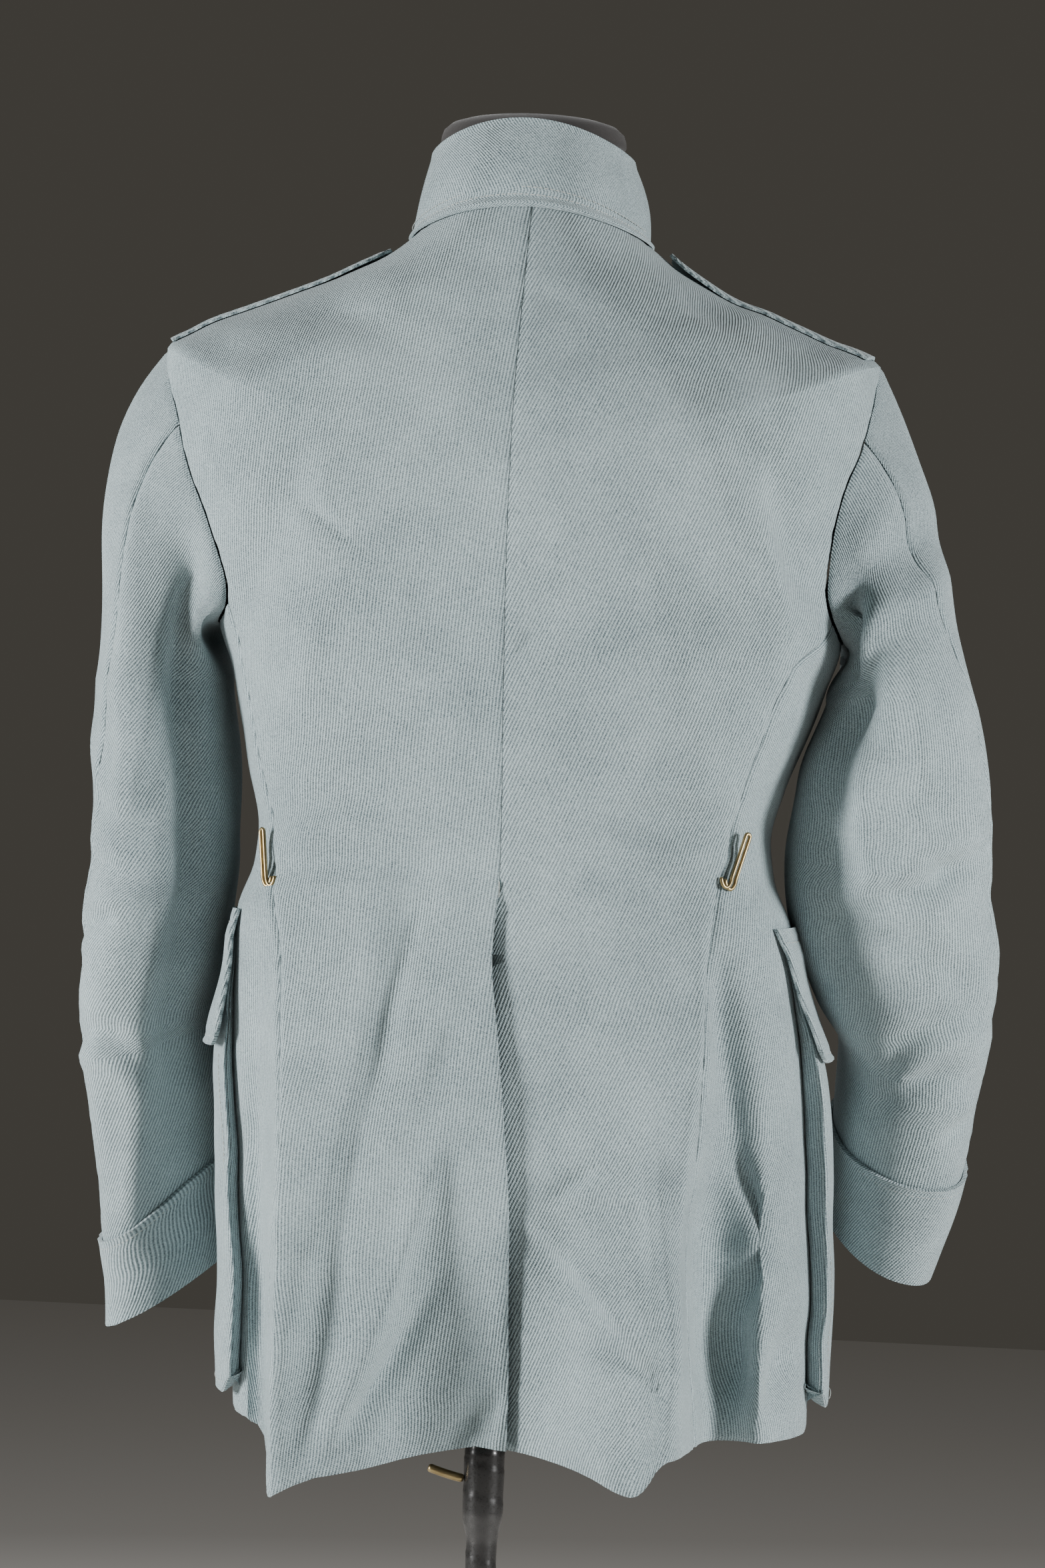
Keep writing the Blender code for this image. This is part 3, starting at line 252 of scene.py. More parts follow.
def fold_push(angle, level):
    """How far the back's folds push the cloth along +Y."""
    push = np.zeros(np.broadcast(angle, level).shape)
    for side, waist_x, hem_x, inner, outer, height, start, sharp in FOLD_ROWS:
        grown = np.clip((start - level) / (start - HEM_LEVEL), 0, 1)
        centre = angle_at(side * (waist_x + (hem_x - waist_x) * grown), level)
        apart = (angle - centre) * side
        part = np.clip(np.abs(apart) / np.where(apart < 0, inner, outer), 0, 1)
        keen = np.clip(np.sqrt(part**2 + 0.012) - 0.11 + 0.11 * part, 0, 1)
        shape = (1 - keen) ** 1.4 if sharp else 0.5 + 0.5 * np.cos(math.pi * part)
        push += height * eased(grown * 1.15) * shape
    return push


def body_point(angle, level):
    """Points of the worn body surface, an array of x, y and z."""
    angle, level = np.broadcast_arrays(np.asarray(angle, float), np.asarray(level, float))
    turn = np.radians(angle)
    sine, cosine = np.sin(turn), np.cos(turn)
    power = 2 / body_value("power", level)
    half = np.where(sine >= 0, body_value("left", level), body_value("right", level))
    reach = np.where(cosine >= 0, body_value("back", level), body_value("front", level))
    x = half * np.sign(sine) * np.abs(sine) ** power
    y = body_value("middle", level) + reach * np.sign(cosine) * np.abs(cosine) ** power
    folded = np.degrees(np.arctan2(sine, cosine))
    y = y + fold_push(folded, level)
    # The height's rise or drop holds below the last row, so that the hem keeps its curve
    held = np.clip(level, BODY_ROWS[0][0], BODY_ROWS[-1][0])
    rise = np.where(cosine >= 0, body_value("back_z", level), body_value("front_z", level)) - held
    z = level + rise * cosine**2
    neck = np.clip((level - TIP_LEVEL) / (NECK_LEVEL - TIP_LEVEL), 0, 1)
    return np.stack([x + COLLAR_SHIFT_X * eased(neck), y, z + WAIST_Z], axis=-1)


def unit(vectors):
    return vectors / np.maximum(np.linalg.norm(vectors, axis=-1, keepdims=True), 1e-12)


def body_normal(angle, level):
    turn_step = math.degrees(STEP / 0.15) * 4
    around = body_point(angle + turn_step, level) - body_point(angle - turn_step, level)
    rise = 4 * STEP
    up = body_point(angle, np.minimum(level + rise, NECK_LEVEL)) - body_point(angle, level - rise)
    return unit(np.cross(up, around))

print("back of the waist:", np.round(body_point(0.0, 0.0), 3))

# %% [markdown]
# Creases are what turns a smooth loft into worn cloth. Each is placed as a soft trough or ridge:
# where it lies, how long and wide it is, how it leans and bends, and how deep it goes. A simulation would
# give folds too, but not the folds of this coat. The photograph shows the back, so the creases there were
# read from it. The front's are guesses.

# %% Creases of the body
# Across (+ to the wearer's left), level, half length, lean from level in degrees, bend, width, depth
BACK_CREASES = (
    (0.105, 0.315, 0.06, 14.0, 2.0, 0.012, -0.0022),
    (0.07, 0.334, 0.05, 24.0, 0.0, 0.01, 0.0016),
    (0.045, 0.3, 0.075, 8.0, -1.5, 0.018, -0.0016),
    (0.128, 0.286, 0.05, -22.0, 2.0, 0.014, 0.0018),
    (-0.095, 0.312, 0.055, -26.0, -2.0, 0.013, -0.0026),
    (-0.075, 0.296, 0.05, -34.0, 0.0, 0.011, 0.0018),
    (-0.12, 0.318, 0.035, -20.0, 0.0, 0.009, 0.0016),
    (-0.15, 0.23, 0.085, 68.0, 1.2, 0.016, -0.0022),
    (-0.165, 0.16, 0.06, 56.0, -1.5, 0.012, 0.0022),
    (-0.118, 0.15, 0.07, 62.0, 1.0, 0.018, -0.0018),
    (0.135, 0.18, 0.09, -72.0, -1.0, 0.02, -0.0024),
    (0.1, 0.12, 0.07, -60.0, 0.0, 0.018, 0.0015),
    (0.06, 0.045, 0.06, -10.0, 2.0, 0.012, -0.0012),
    (-0.085, 0.03, 0.05, 14.0, -2.5, 0.011, -0.002),
    (-0.1, 0.008, 0.04, 6.0, -2.0, 0.008, 0.0018),
    (-0.07, -0.004, 0.036, 10.0, 3.0, 0.008, -0.0016),
    (0.085, -0.002, 0.042, -6.0, 3.0, 0.008, -0.0016),
    (0.1, 0.016, 0.034, -12.0, 2.0, 0.009, 0.0014),
    (0.03, -0.006, 0.03, 4.0, 3.0, 0.008, -0.001),
    (0.053, -0.081, 0.077, -80.0, 0.0, 0.011, -0.0042),
    (0.079, -0.234, 0.096, -82.0, 0.0, 0.012, -0.0045),
    (0.022, -0.085, 0.044, -70.0, 0.0, 0.007, 0.002),
    (0.049, -0.236, 0.105, -71.0, 0.0, 0.008, 0.0034),
    (0.047, -0.289, 0.052, -62.0, 0.0, 0.006, -0.0032),
    (-0.002, -0.326, 0.023, -55.0, 0.0, 0.008, -0.0036),
    (0.022, -0.137, 0.06, -89.0, 0.0, 0.012, -0.0016),
    (-0.111, -0.232, 0.082, 81.0, 0.0, 0.007, 0.0028),
    (-0.138, -0.234, 0.066, 85.0, 0.0, 0.012, -0.0036),
    (-0.06, -0.246, 0.043, 42.0, 0.0, 0.005, -0.0015),
    (-0.066, -0.237, 0.045, 42.0, 0.0, 0.005, 0.0013),
    (-0.053, -0.183, 0.014, -34.0, 2.0, 0.0045, -0.0024),
    (-0.092, -0.282, 0.023, 27.0, 0.0, 0.005, -0.0024),
    (-0.142, -0.11, 0.057, 83.0, 0.0, 0.007, -0.0042),
    (-0.157, -0.19, 0.024, 70.0, 0.0, 0.006, -0.0045),
    (-0.156, -0.238, 0.022, -67.0, 0.0, 0.006, -0.0042),
    (-0.147, -0.282, 0.024, 89.0, 0.0, 0.007, -0.0042),
    (-0.179, -0.291, 0.023, -82.0, 0.0, 0.007, -0.0036),
    (0.04, 0.32, 0.015, 24.0, 2.0, 0.006, -0.0034),
    (0.018, 0.348, 0.013, 43.0, 0.0, 0.008, -0.003),
    (-0.028, 0.324, 0.02, 20.0, 2.0, 0.006, -0.003),
    (-0.053, 0.361, 0.02, 30.0, 0.0, 0.007, -0.003),
    (-0.113, 0.326, 0.022, 33.0, 0.0, 0.006, -0.0034),
    (0.096, 0.316, 0.016, 15.0, 0.0, 0.006, -0.003),
    (0.095, 0.189, 0.027, 38.0, 1.0, 0.0045, -0.0016),
    (-0.023, 0.13, 0.021, -52.0, 1.0, 0.005, -0.0014),
    (-0.158, 0.172, 0.062, 80.0, 0.0, 0.006, 0.0016),
    (-0.05, 0.057, 0.031, -11.0, 2.0, 0.006, -0.0012),
    (-0.099, 0.044, 0.042, -7.0, 2.0, 0.006, 0.0013),
)
FRONT_CREASES = (
    (0.09, 0.29, 0.07, 28.0, 2.0, 0.016, -0.0026),
    (-0.095, 0.286, 0.065, -24.0, -2.0, 0.015, -0.0024),
    (0.135, 0.2, 0.08, -64.0, 1.0, 0.017, -0.003),
    (-0.14, 0.19, 0.08, 62.0, -1.0, 0.016, -0.0028),
    (0.065, 0.14, 0.07, 30.0, 1.5, 0.018, 0.0018),
    (-0.06, 0.11, 0.07, -34.0, 1.5, 0.018, 0.0018),
    (0.075, 0.03, 0.055, 12.0, -2.0, 0.011, -0.0022),
    (-0.08, 0.022, 0.055, -14.0, 2.0, 0.011, -0.0022),
    (0.105, 0.0, 0.045, 20.0, 2.0, 0.009, 0.002),
    (-0.04, -0.004, 0.04, 6.0, 2.0, 0.009, -0.0014),
    (0.075, -0.18, 0.12, 84.0, 0.6, 0.024, -0.0044),
    (-0.085, -0.19, 0.12, -82.0, -0.6, 0.024, -0.0044),
    (0.12, -0.23, 0.1, 86.0, 0.4, 0.02, 0.0034),
    (-0.13, -0.22, 0.1, -84.0, 0.4, 0.02, 0.0034),
    (0.04, -0.24, 0.09, 78.0, 0.6, 0.018, 0.0026),
)
# All the depths above are multiplied by this
CREASE_SCALE = 2.1
# Wave length and height of each set of waves in the cloth's own unevenness
RIPPLES = ((0.21, 0.0008), (0.13, 0.0006), (0.085, 0.00035), (0.05, 0.0002), (0.033, 0.00012))
WAVES_IN_A_SET = 3


def crease_field(rows, across, level):
    """The summed height of creases at points given by their place across and their level."""
    height = np.zeros(np.broadcast(across, level).shape)
    for middle, rise, half_length, lean, bend, width, depth in rows:
        turn = math.radians(lean)
        along = (across - middle) * math.cos(turn) + (level - rise) * math.sin(turn)
        aside = (level - rise) * math.cos(turn) - (across - middle) * math.sin(turn)
        aside = aside + bend * along**2
        taper = np.exp(-((np.abs(along) / half_length) ** 3.0))
        height += depth * taper * bell(aside, width)
    return height


def ripple(points, seed):
    """A slight unevenness of hung cloth: a few long waves of fixed directions."""
    mixer = np.random.default_rng(seed)
    height = np.zeros(points.shape[:-1])
    for wave_length, size in RIPPLES:
        for _ in range(WAVES_IN_A_SET):
            way = mixer.normal(size=3)
            way[2] *= 0.6
            way /= np.linalg.norm(way)
            start = mixer.uniform(0, 2 * math.pi)
            height += size * np.sin(points @ way * 2 * math.pi / wave_length + start)
    return height


print("creases:", len(BACK_CREASES), "at the back,", len(FRONT_CREASES), "at the front")

# %% [markdown]
# Anything that lies on the coat, such as a pocket, strap or collar, is made from the same points moved out
# by its own distance. The creases are part of that surface, so what lies on a crease follows it.

# %% Points off the creased body
def crease_height(angle, level):
    """How far the creases move the cloth out at an angle and level."""
    points = body_point(angle, level)
    across = points[..., 0]
    rise = points[..., 2] - WAIST_Z
    behind = eased((points[..., 1] + 0.045) / 0.09)
    back = CREASE_SCALE * crease_field(BACK_CREASES, across, rise)
    front = CREASE_SCALE * crease_field(FRONT_CREASES, across, rise)
    height = back * behind + front * (1 - behind) + ripple(points, 7)
    # Where the coat hangs on the form's shoulders and neck it has no room to crease inwards
    tight = eased((np.asarray(level) - 0.300) / 0.040)
    return height * (1 - 0.75 * tight) + 0.0006 * tight


def off_body(angle, level, out):
    """Points moved out of the creased body surface, by a distance or an array of them."""
    angle, level = np.broadcast_arrays(np.asarray(angle, float), np.asarray(level, float))
    distance = np.asarray(out) + crease_height(angle, level)
    return body_point(angle, level) + body_normal(angle, level) * distance[..., None]


blade_crease = float(crease_height(np.array(-50.0), np.array(0.16)))
print("crease at the right blade:", round(blade_crease * 1000, 2), "mm")

# %% Armhole, hem and seam lines


def armhole(turn, side):
    """The angle and level of a point of the armhole, by turn from the shoulder tip over the back."""
    turn = np.asarray(turn, float) % 360
    folded = np.where(turn > 180, 360 - turn, turn)
    places = [row[0] for row in ARMHOLE_ROWS]
    back = smooth_table(folded, places, [row[1 if side > 0 else 2] for row in ARMHOLE_ROWS])
    front = smooth_table(folded, places, [row[3] for row in ARMHOLE_ROWS])
    middle = (TIP_LEVEL + ARMPIT_LEVEL) / 2
    level = middle + (TIP_LEVEL - middle) * np.cos(np.radians(folded))
    return side * np.where(turn > 180, front, back), level


def hem_level(angle):
    """The hem's height at an angle."""
    angle = np.asarray(angle, float)
    around = np.abs((angle + 180) % 360 - 180)
    left = (angle + 180) % 360 >= 180
    places = [row[0] for row in HEM_ROWS]
    on_left = smooth_table(around, places, [row[1] for row in HEM_ROWS])
    on_right = smooth_table(around, places, [row[2] for row in HEM_ROWS])
    return np.where(left, on_left, on_right)


def with_hem(angle, level):
    """Levels with the lowest rows moved to the hem's curve."""
    low = np.clip((0.0 - level) / (0.0 - HEM_LEVEL), 0, 1)
    return level + (hem_level(angle) - HEM_LEVEL) * low**2


def seam_angle(level, side, inset=0.0):
    """The angle of the side-back seam, moved towards the side by inset."""
    across = by_level(SIDE_BACK_SEAM, level, 1 if side > 0 else 2)
    return angle_at(side * (across + inset), level)


def lap_lift(angle, level):
    """How far out the left front lies near the closing, where it laps over the right one."""
    turn = np.radians(np.asarray(angle, float))
    half = body_value("left", level)
    x = half * np.sign(np.sin(turn)) * np.abs(np.sin(turn)) ** (2 / body_value("power", level))
    over = eased((0.056 - x) / 0.028) * eased((x + FRONT_LAP + 0.010) / 0.007)
    return (CLOTH + 3 * GAP) * np.where(np.cos(turn) < 0, over, 0.0)

print("hem at the left crest:", round(float(hem_level(45.0)), 3))

# %% [markdown]
# Wool twill has raised ribs, the wale, about 2 mm apart, running across a fainter weave. At arm's length they
# are what says cloth. They could be modelled or painted; here they come from each piece's own UV map, laid in
# metres along that piece's grain, so the ribs keep their real pitch and turn with each cut piece.

# %% Twill material
def maths(tree, operation, first, second=None, third=None):
    """One Math node, fed by sockets or numbers."""
    made = tree.nodes.new("ShaderNodeMath")
    made.operation = operation
    for place, value in enumerate((first, second, third)):
        if value is None:
            continue
        if isinstance(value, (int, float)):
            made.inputs[place].default_value = value
        else:
            tree.links.new(value, made.inputs[place])
    return made.outputs[0]


def noise(tree, where, scale, detail=2.0):
    """Noise of a given fineness at the points of a vector socket."""
    made = tree.nodes.new("ShaderNodeTexNoise")
    made.inputs["Scale"].default_value = scale
    made.inputs["Detail"].default_value = detail
    tree.links.new(where, made.inputs["Vector"])
    return made.outputs[0]


def colour_mix(tree, share, first, second):
    """A blend of two colours, from the first at 0 to the second at 1."""
    made = tree.nodes.new("ShaderNodeMix")
    made.data_type = "RGBA"
    tree.links.new(share, made.inputs["Factor"])
    for name, value in (("A", first), ("B", second)):
        socket = [s for s in made.inputs if s.name == name and s.type == "RGBA"][0]
        if isinstance(value, tuple):
            socket.default_value = (*value, 1.0)
        else:
            tree.links.new(value, socket)
    return [s for s in made.outputs if s.type == "RGBA"][0]


def weighted(tree, *pairs):
    """The sum of sockets, each multiplied by its own weight."""
    total = None
    for socket, weight in pairs:
        part = maths(tree, "MULTIPLY", socket, weight)
        total = part if total is None else maths(tree, "ADD", total, part)
    return total


def new_finish(name):
    """A new material, with its tree, its shader and the piece's own coordinates."""
    finish = bpy.data.materials.new(name)
    finish.use_nodes = True
    tree = finish.node_tree
    return finish, tree, tree.nodes["Principled BSDF"], tree.nodes.new("ShaderNodeTexCoord").outputs["Object"]


def grain_parts(tree):
    """The two directions of a piece's grain map, in metres."""
    place = tree.nodes.new("ShaderNodeUVMap")
    place.uv_map = "grain"
    parts = tree.nodes.new("ShaderNodeSeparateXYZ")
    tree.links.new(place.outputs[0], parts.inputs[0])
    return parts.outputs["X"], parts.outputs["Y"]


def bump_shader(tree, shader, height, strength, distance):
    """Small relief on a shader."""
    bump = tree.nodes.new("ShaderNodeBump")
    set_inputs(bump, ("Strength", strength), ("Distance", distance))
    tree.links.new(height, bump.inputs["Height"])
    tree.links.new(bump.outputs[0], shader.inputs["Normal"])


def set_inputs(node, *pairs):
    """Plain values for a node's sockets."""
    for socket, value in pairs:
        node.inputs[socket].default_value = value


# The pitch of the ribs and of the threads that cross them, and the colours between and on the ribs; the dark
# one is painted shade in the grooves as well as the dark fibre flecks
WALE = 0.0019
WEFT = 0.0011
GROOVE_SHADE_AND_FLECK_BLUE = (0.045, 0.074, 0.088)
RIB_BLUE = (0.570, 0.695, 0.715)


def twill_material(name):
    """Blue-grey wool twill: ribs, crossing weave, fibre flecks, soft stains, shade painted into the grooves and
    a slight sheen.
    """
    finish, tree, shader, solid = new_finish(name)
    across_grain, along_grain = grain_parts(tree)
    wobble = maths(tree, "MULTIPLY", noise(tree, solid, 55.0), 0.0009)
    across = maths(tree, "ADD", across_grain, wobble)
    phase = maths(tree, "MULTIPLY", across, 2 * math.pi / WALE)
    rib = maths(tree, "MULTIPLY_ADD", maths(tree, "SINE", phase), 0.5, 0.5)
    half_phase = maths(tree, "MULTIPLY", phase, 0.5)
    lean = maths(tree, "MULTIPLY_ADD", along_grain, 2 * math.pi / WEFT, half_phase)
    cross = maths(tree, "MULTIPLY_ADD", maths(tree, "SINE", lean), 0.5, 0.5)
    fleck = maths(tree, "MULTIPLY_ADD", noise(tree, solid, 1100.0, 2.0), 2.2, -0.6)
    height = weighted(tree, (rib, 0.62), (cross, 0.2), (fleck, 0.35))
    bump_shader(tree, shader, height, 0.8, 0.0008)
    # The colour darkens in the grooves between ribs and threads: painted shade there, with the real flecks and
    # stains on top
    shade_and_tone = weighted(tree, (rib, 0.52), (cross, 0.14), (fleck, 0.44))
    patch = maths(tree, "MULTIPLY_ADD", noise(tree, solid, 9.0, 4.0), 0.34, -0.17)
    streak = maths(tree, "MULTIPLY_ADD", noise(tree, solid, 38.0, 3.0), 0.22, -0.11)
    shade_and_tone = maths(tree, "ADD", maths(tree, "ADD", shade_and_tone, patch), streak)
    shade_and_tone = maths(tree, "ADD", shade_and_tone, -0.04)
    clamped_shade_and_tone = maths(tree, "MINIMUM", maths(tree, "MAXIMUM", shade_and_tone, 0.0), 1.0)
    colour = colour_mix(tree, clamped_shade_and_tone, GROOVE_SHADE_AND_FLECK_BLUE, RIB_BLUE)
    tree.links.new(colour, shader.inputs["Base Color"])
    set_inputs(shader, ("Roughness", 0.88), ("Specular IOR Level", 0.25), ("Sheen Weight", 0.28),
               ("Sheen Roughness", 0.45))
    return finish


twill = twill_material("tunic_twill")
print("rib pitch:", WALE * 1000, "mm")

# %% [markdown]
# Every piece of cloth is a closed wall between an outer and an inner grid of points. A single sheet would be
# simpler, but its edge would have no thickness at the vent, cuffs and flaps. Each corner gets a UV in metres:
# its first number runs across the wale and its second along it.

# %% Thin walls of cloth
def arc_lengths(points):
    """Lengths along each row of a grid from its first column."""
    steps = np.linalg.norm(np.diff(points, axis=1), axis=2)
    return np.concatenate([np.zeros((points.shape[0], 1)), np.cumsum(steps, axis=1)], axis=1)


def grain_map(points, grain, mirror, shift):
    """UVs in metres for a grid seen from outside, with the wale at an angle from the level."""
    rightward = arc_lengths(points) * mirror + np.reshape(shift, (-1, 1))
    upward = points[..., 2]
    turn = math.radians(grain)
    return np.stack([rightward * math.sin(turn) - upward * math.cos(turn),
                     rightward * math.cos(turn) + upward * math.sin(turn)], axis=-1)


def mesh_object(name, vertices, faces, uvs, finish, sharp=45.0):
    """A smooth-shaded mesh at the origin, with faces pointing out and a UV map named grain."""
    mesh = bpy.data.meshes.new(name)
    mesh.vertices.add(len(vertices))
    mesh.vertices.foreach_set("co", np.asarray(vertices, np.float32).ravel())
    faces = np.asarray(faces, np.int32)
    mesh.loops.add(faces.size)
    mesh.loops.foreach_set("vertex_index", faces.ravel())
    mesh.polygons.add(len(faces))
    mesh.polygons.foreach_set("loop_start", np.arange(0, faces.size, 4, dtype=np.int32))
    mesh.update(calc_edges=True)
    layer = mesh.uv_layers.new(name="grain")
    layer.data.foreach_set("uv", np.asarray(uvs, np.float32).ravel())
    mesh.polygons.foreach_set("use_smooth", np.ones(len(faces), bool))
    mesh.set_sharp_from_angle(angle=math.radians(sharp))
    mesh.validate()
    mesh.materials.append(finish)
    thing = bpy.data.objects.new(name, mesh)
    bpy.context.scene.collection.objects.link(thing)
    return thing


def cloth_wall(name, outer, inner, grain, mirror, ring=False, shift=0.0):
    """A closed wall of cloth between two grids of points."""
    rows, columns = outer.shape[:2]
    if ring:
        wide = np.concatenate([outer, outer[:, :1]], axis=1)
    else:
        wide = outer
    uv = grain_map(wide, grain, mirror, shift)
    spans = wide.shape[1] - 1
    down, along = np.meshgrid(np.arange(rows - 1), np.arange(spans), indexing="ij")
    down, along = down.ravel(), along.ravel()

    def corner(below, beside, layer):
        """The vertex and UV numbers of one corner of every quad of a layer."""
        return np.stack([layer * rows * columns + (down + below) * columns + (along + beside) % columns,
                         (down + below) * wide.shape[1] + along + beside], axis=-1)

    quads = [np.stack([corner(0, 0, 0), corner(0, 1, 0), corner(1, 1, 0), corner(1, 0, 0)], axis=1),
             np.stack([corner(0, 0, 1), corner(1, 0, 1), corner(1, 1, 1), corner(0, 1, 1)], axis=1)]

    def rim(first, second):
        """Quads along a line of edges, from the outer layer to the inner one."""
        def ends(pair, layer):
            row, column = pair
            return np.stack([layer * rows * columns + row * columns + column % columns,
                             row * wide.shape[1] + column], axis=-1)
        quads.append(np.stack([ends(first, 1), ends(second, 1), ends(second, 0), ends(first, 0)], axis=1))

    line = np.arange(spans)
    rim((0 * line, line), (0 * line, line + 1))
    rim((0 * line + rows - 1, line + 1), (0 * line + rows - 1, line))
    if not ring:
        line = np.arange(rows - 1)
        rim((line + 1, 0 * line), (line, 0 * line))
        rim((line, 0 * line + columns - 1), (line + 1, 0 * line + columns - 1))
    corners = np.concatenate(quads)
    vertices = np.concatenate([outer.reshape(-1, 3), inner.reshape(-1, 3)])
    # The signed volume says whether the quads face outwards
    first, second, third, fourth = (vertices[corners[:, place, 0]] for place in range(4))
    volume = np.sum(first * np.cross(second, third)) + np.sum(first * np.cross(third, fourth))
    if volume < 0:
        corners = corners[:, ::-1]
    uvs = uv.reshape(-1, 2)[corners[..., 1].ravel()]
    thing = mesh_object(name, vertices, corners[..., 0], uvs, twill)
    return thing


def wear(piece, node_name):
    """Puts a finished piece of cloth in its node's place."""
    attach(piece, "root")
    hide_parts(node_name)


# %% [markdown]
# A sewn seam isn't a plain line. The allowance underneath lifts the cloth beside it, the stitch line pulls it
# down, and small puckers run along it. Each panel gets columns close together near its edges for that.

# %% Seam relief
PANEL_STEP = 0.0045
EDGE_STEPS = (0.0, 0.0006, 0.0014, 0.0026, 0.0042, 0.0062)
PUCKER_WAVES = (0.011, 0.017, 0.026)
PUCKER_HEIGHT = 0.00012


def spread(width, step=PANEL_STEP):
    """Shares across a panel, close together near both edges."""
    near = np.array(EDGE_STEPS) / width
    count = max(2, int(round((width - 2 * EDGE_STEPS[-1]) / step)))
    middle = np.linspace(near[-1], 1 - near[-1], count + 1)[1:-1]
    return np.concatenate([near, middle, 1 - near[::-1]])


def edge_relief(distance, along, seed, sink=0.0009, rise=0.0004):
    """The outer face near a seam: it sinks at the stitch line, swells beside it and puckers."""
    mixer = np.random.default_rng(seed)
    pucker = np.zeros_like(distance)
    for wave_length in PUCKER_WAVES:
        pucker += np.sin(along * 2 * math.pi / wave_length + mixer.uniform(0, 6.28))
    relief = -sink * bell(distance, 0.0016)
    relief += rise * bell(distance - 0.0052, 0.0034)
    relief += PUCKER_HEIGHT * pucker * bell(distance, 0.009)
    return relief


def relief_at_edges(points, seed):
    """Relief for a whole panel, from its distance to each of its four edges."""
    across = arc_lengths(points)
    down = np.swapaxes(arc_lengths(np.swapaxes(points, 0, 1)), 0, 1)
    along = points[..., 2]
    total = edge_relief(across, along, seed) + edge_relief(across[:, -1:] - across, along, seed + 1)
    total = total + edge_relief(down, across, seed + 2, 0.0008, 0.0)
    return total + edge_relief(down[-1:] - down, across, seed + 3, 0.0008, 0.0)


def fan(first, last, share):
    """A grid whose rows run from a first column to a last one by shares."""
    return first[:, None] + (last - first)[:, None] * share[None, :]


def rows_between(start, end, step):
    """Even places from start to end, about a step apart."""
    count = max(2, int(round(abs(end - start) / step)) + 1)
    return np.linspace(start, end, count)


print("columns of a panel 0.16 m wide:", len(spread(0.16)))


# %% [markdown]
# The back is two panels that meet at the centre seam. Below the waist the seam opens into a vent, whose left
# edge laps over an underlap of the right panel. Building both from one surface keeps the seam a hair apart.

# %% Back panels
# Rows of every body panel: from the hem up a seam to the straight top, then round the armhole to the neck
FOOT_STEPS = (0.0, 0.0007, 0.0016, 0.003, 0.005)
SECOND_ROW = 0.0095
STRAIGHT_TOP = 0.118
CORNER_PARTS = np.linspace(0, 1, 7)[1:]
ARMHOLE_STEP = 2.6
SHOULDER_STEP = 0.0025
# Half the gap at each seam, in degrees round the body
ARMHOLE_CLEAR = 0.12
SHOULDER_CLEAR = 0.14
SIDE_CLEAR = 0.06
# The vent's left edge lifts and the underlap sinks, most of all in the wedge just below the vent's top
VENT_GAPE = 0.0035
VENT_LIFT = 0.0036
VENT_SINK = 0.0016
VENT_WEDGE_SINK = 0.0050
# The angle of the wale from the level, and the seed of the seams' puckers
PANEL_GRAIN = {("back", 1): 84.0, ("back", -1): 66.0, ("side", 1): 80.0,
               ("side", -1): 88.0, ("front", 1): 84.0, ("front", -1): 96.0}
PANEL_SEED = {("back", 1): 11, ("back", -1): 17, ("side", 1): 23,
              ("side", -1): 29, ("front", 1): 31, ("front", -1): 37}


def panel_levels():
    """Levels of a panel's rows from the hem to the straight top, close together at the hem."""
    foot = HEM_LEVEL + np.array(FOOT_STEPS)
    return np.concatenate([foot, rows_between(HEM_LEVEL + SECOND_ROW, STRAIGHT_TOP, PANEL_STEP)])


def back_rows(side):
    """Row levels of a back panel with the angle of its side edge."""
    rows = [(float(level), float(seam_angle(level, side, -GAP / 2))) for level in panel_levels()]
    corner_angle, corner_level = armhole(SIDE_TOP_TURN, side)
    low_angle = float(seam_angle(STRAIGHT_TOP, side, -GAP / 2))
    for part in CORNER_PARTS:
        rows.append((STRAIGHT_TOP + (float(corner_level) - STRAIGHT_TOP) * part,
                     low_angle + (float(corner_angle) - side * ARMHOLE_CLEAR - low_angle) * part))
    for turn in rows_between(SIDE_TOP_TURN, 0.0, ARMHOLE_STEP)[1:]:
        angle, level = armhole(turn, side)
        rows.append((float(level), float(angle) - side * ARMHOLE_CLEAR))
    for level in rows_between(TIP_LEVEL, NECK_LEVEL, SHOULDER_STEP)[1:]:
        rows.append((float(level), side * (90.0 - SHOULDER_CLEAR)))
    return np.array(rows)


def body_cloth(kind, side, angles, levels, lift, shift=0.0):
    """A panel's wall of cloth, with the relief of its seams on the outside."""
    flat = off_body(angles, levels, lift)
    outer = off_body(angles, levels, lift + relief_at_edges(flat, PANEL_SEED[kind, side]))
    inner = off_body(angles, levels, lift - CLOTH)
    name = f"{kind}_{WORDS[side]}_cloth"
    return cloth_wall(name, outer, inner, PANEL_GRAIN[kind, side], -side, shift=shift)


def vent_wedge(levels):
    """1 where the vent gapes most, falling to 0 above and below."""
    return bell(levels + 0.055, 0.034)


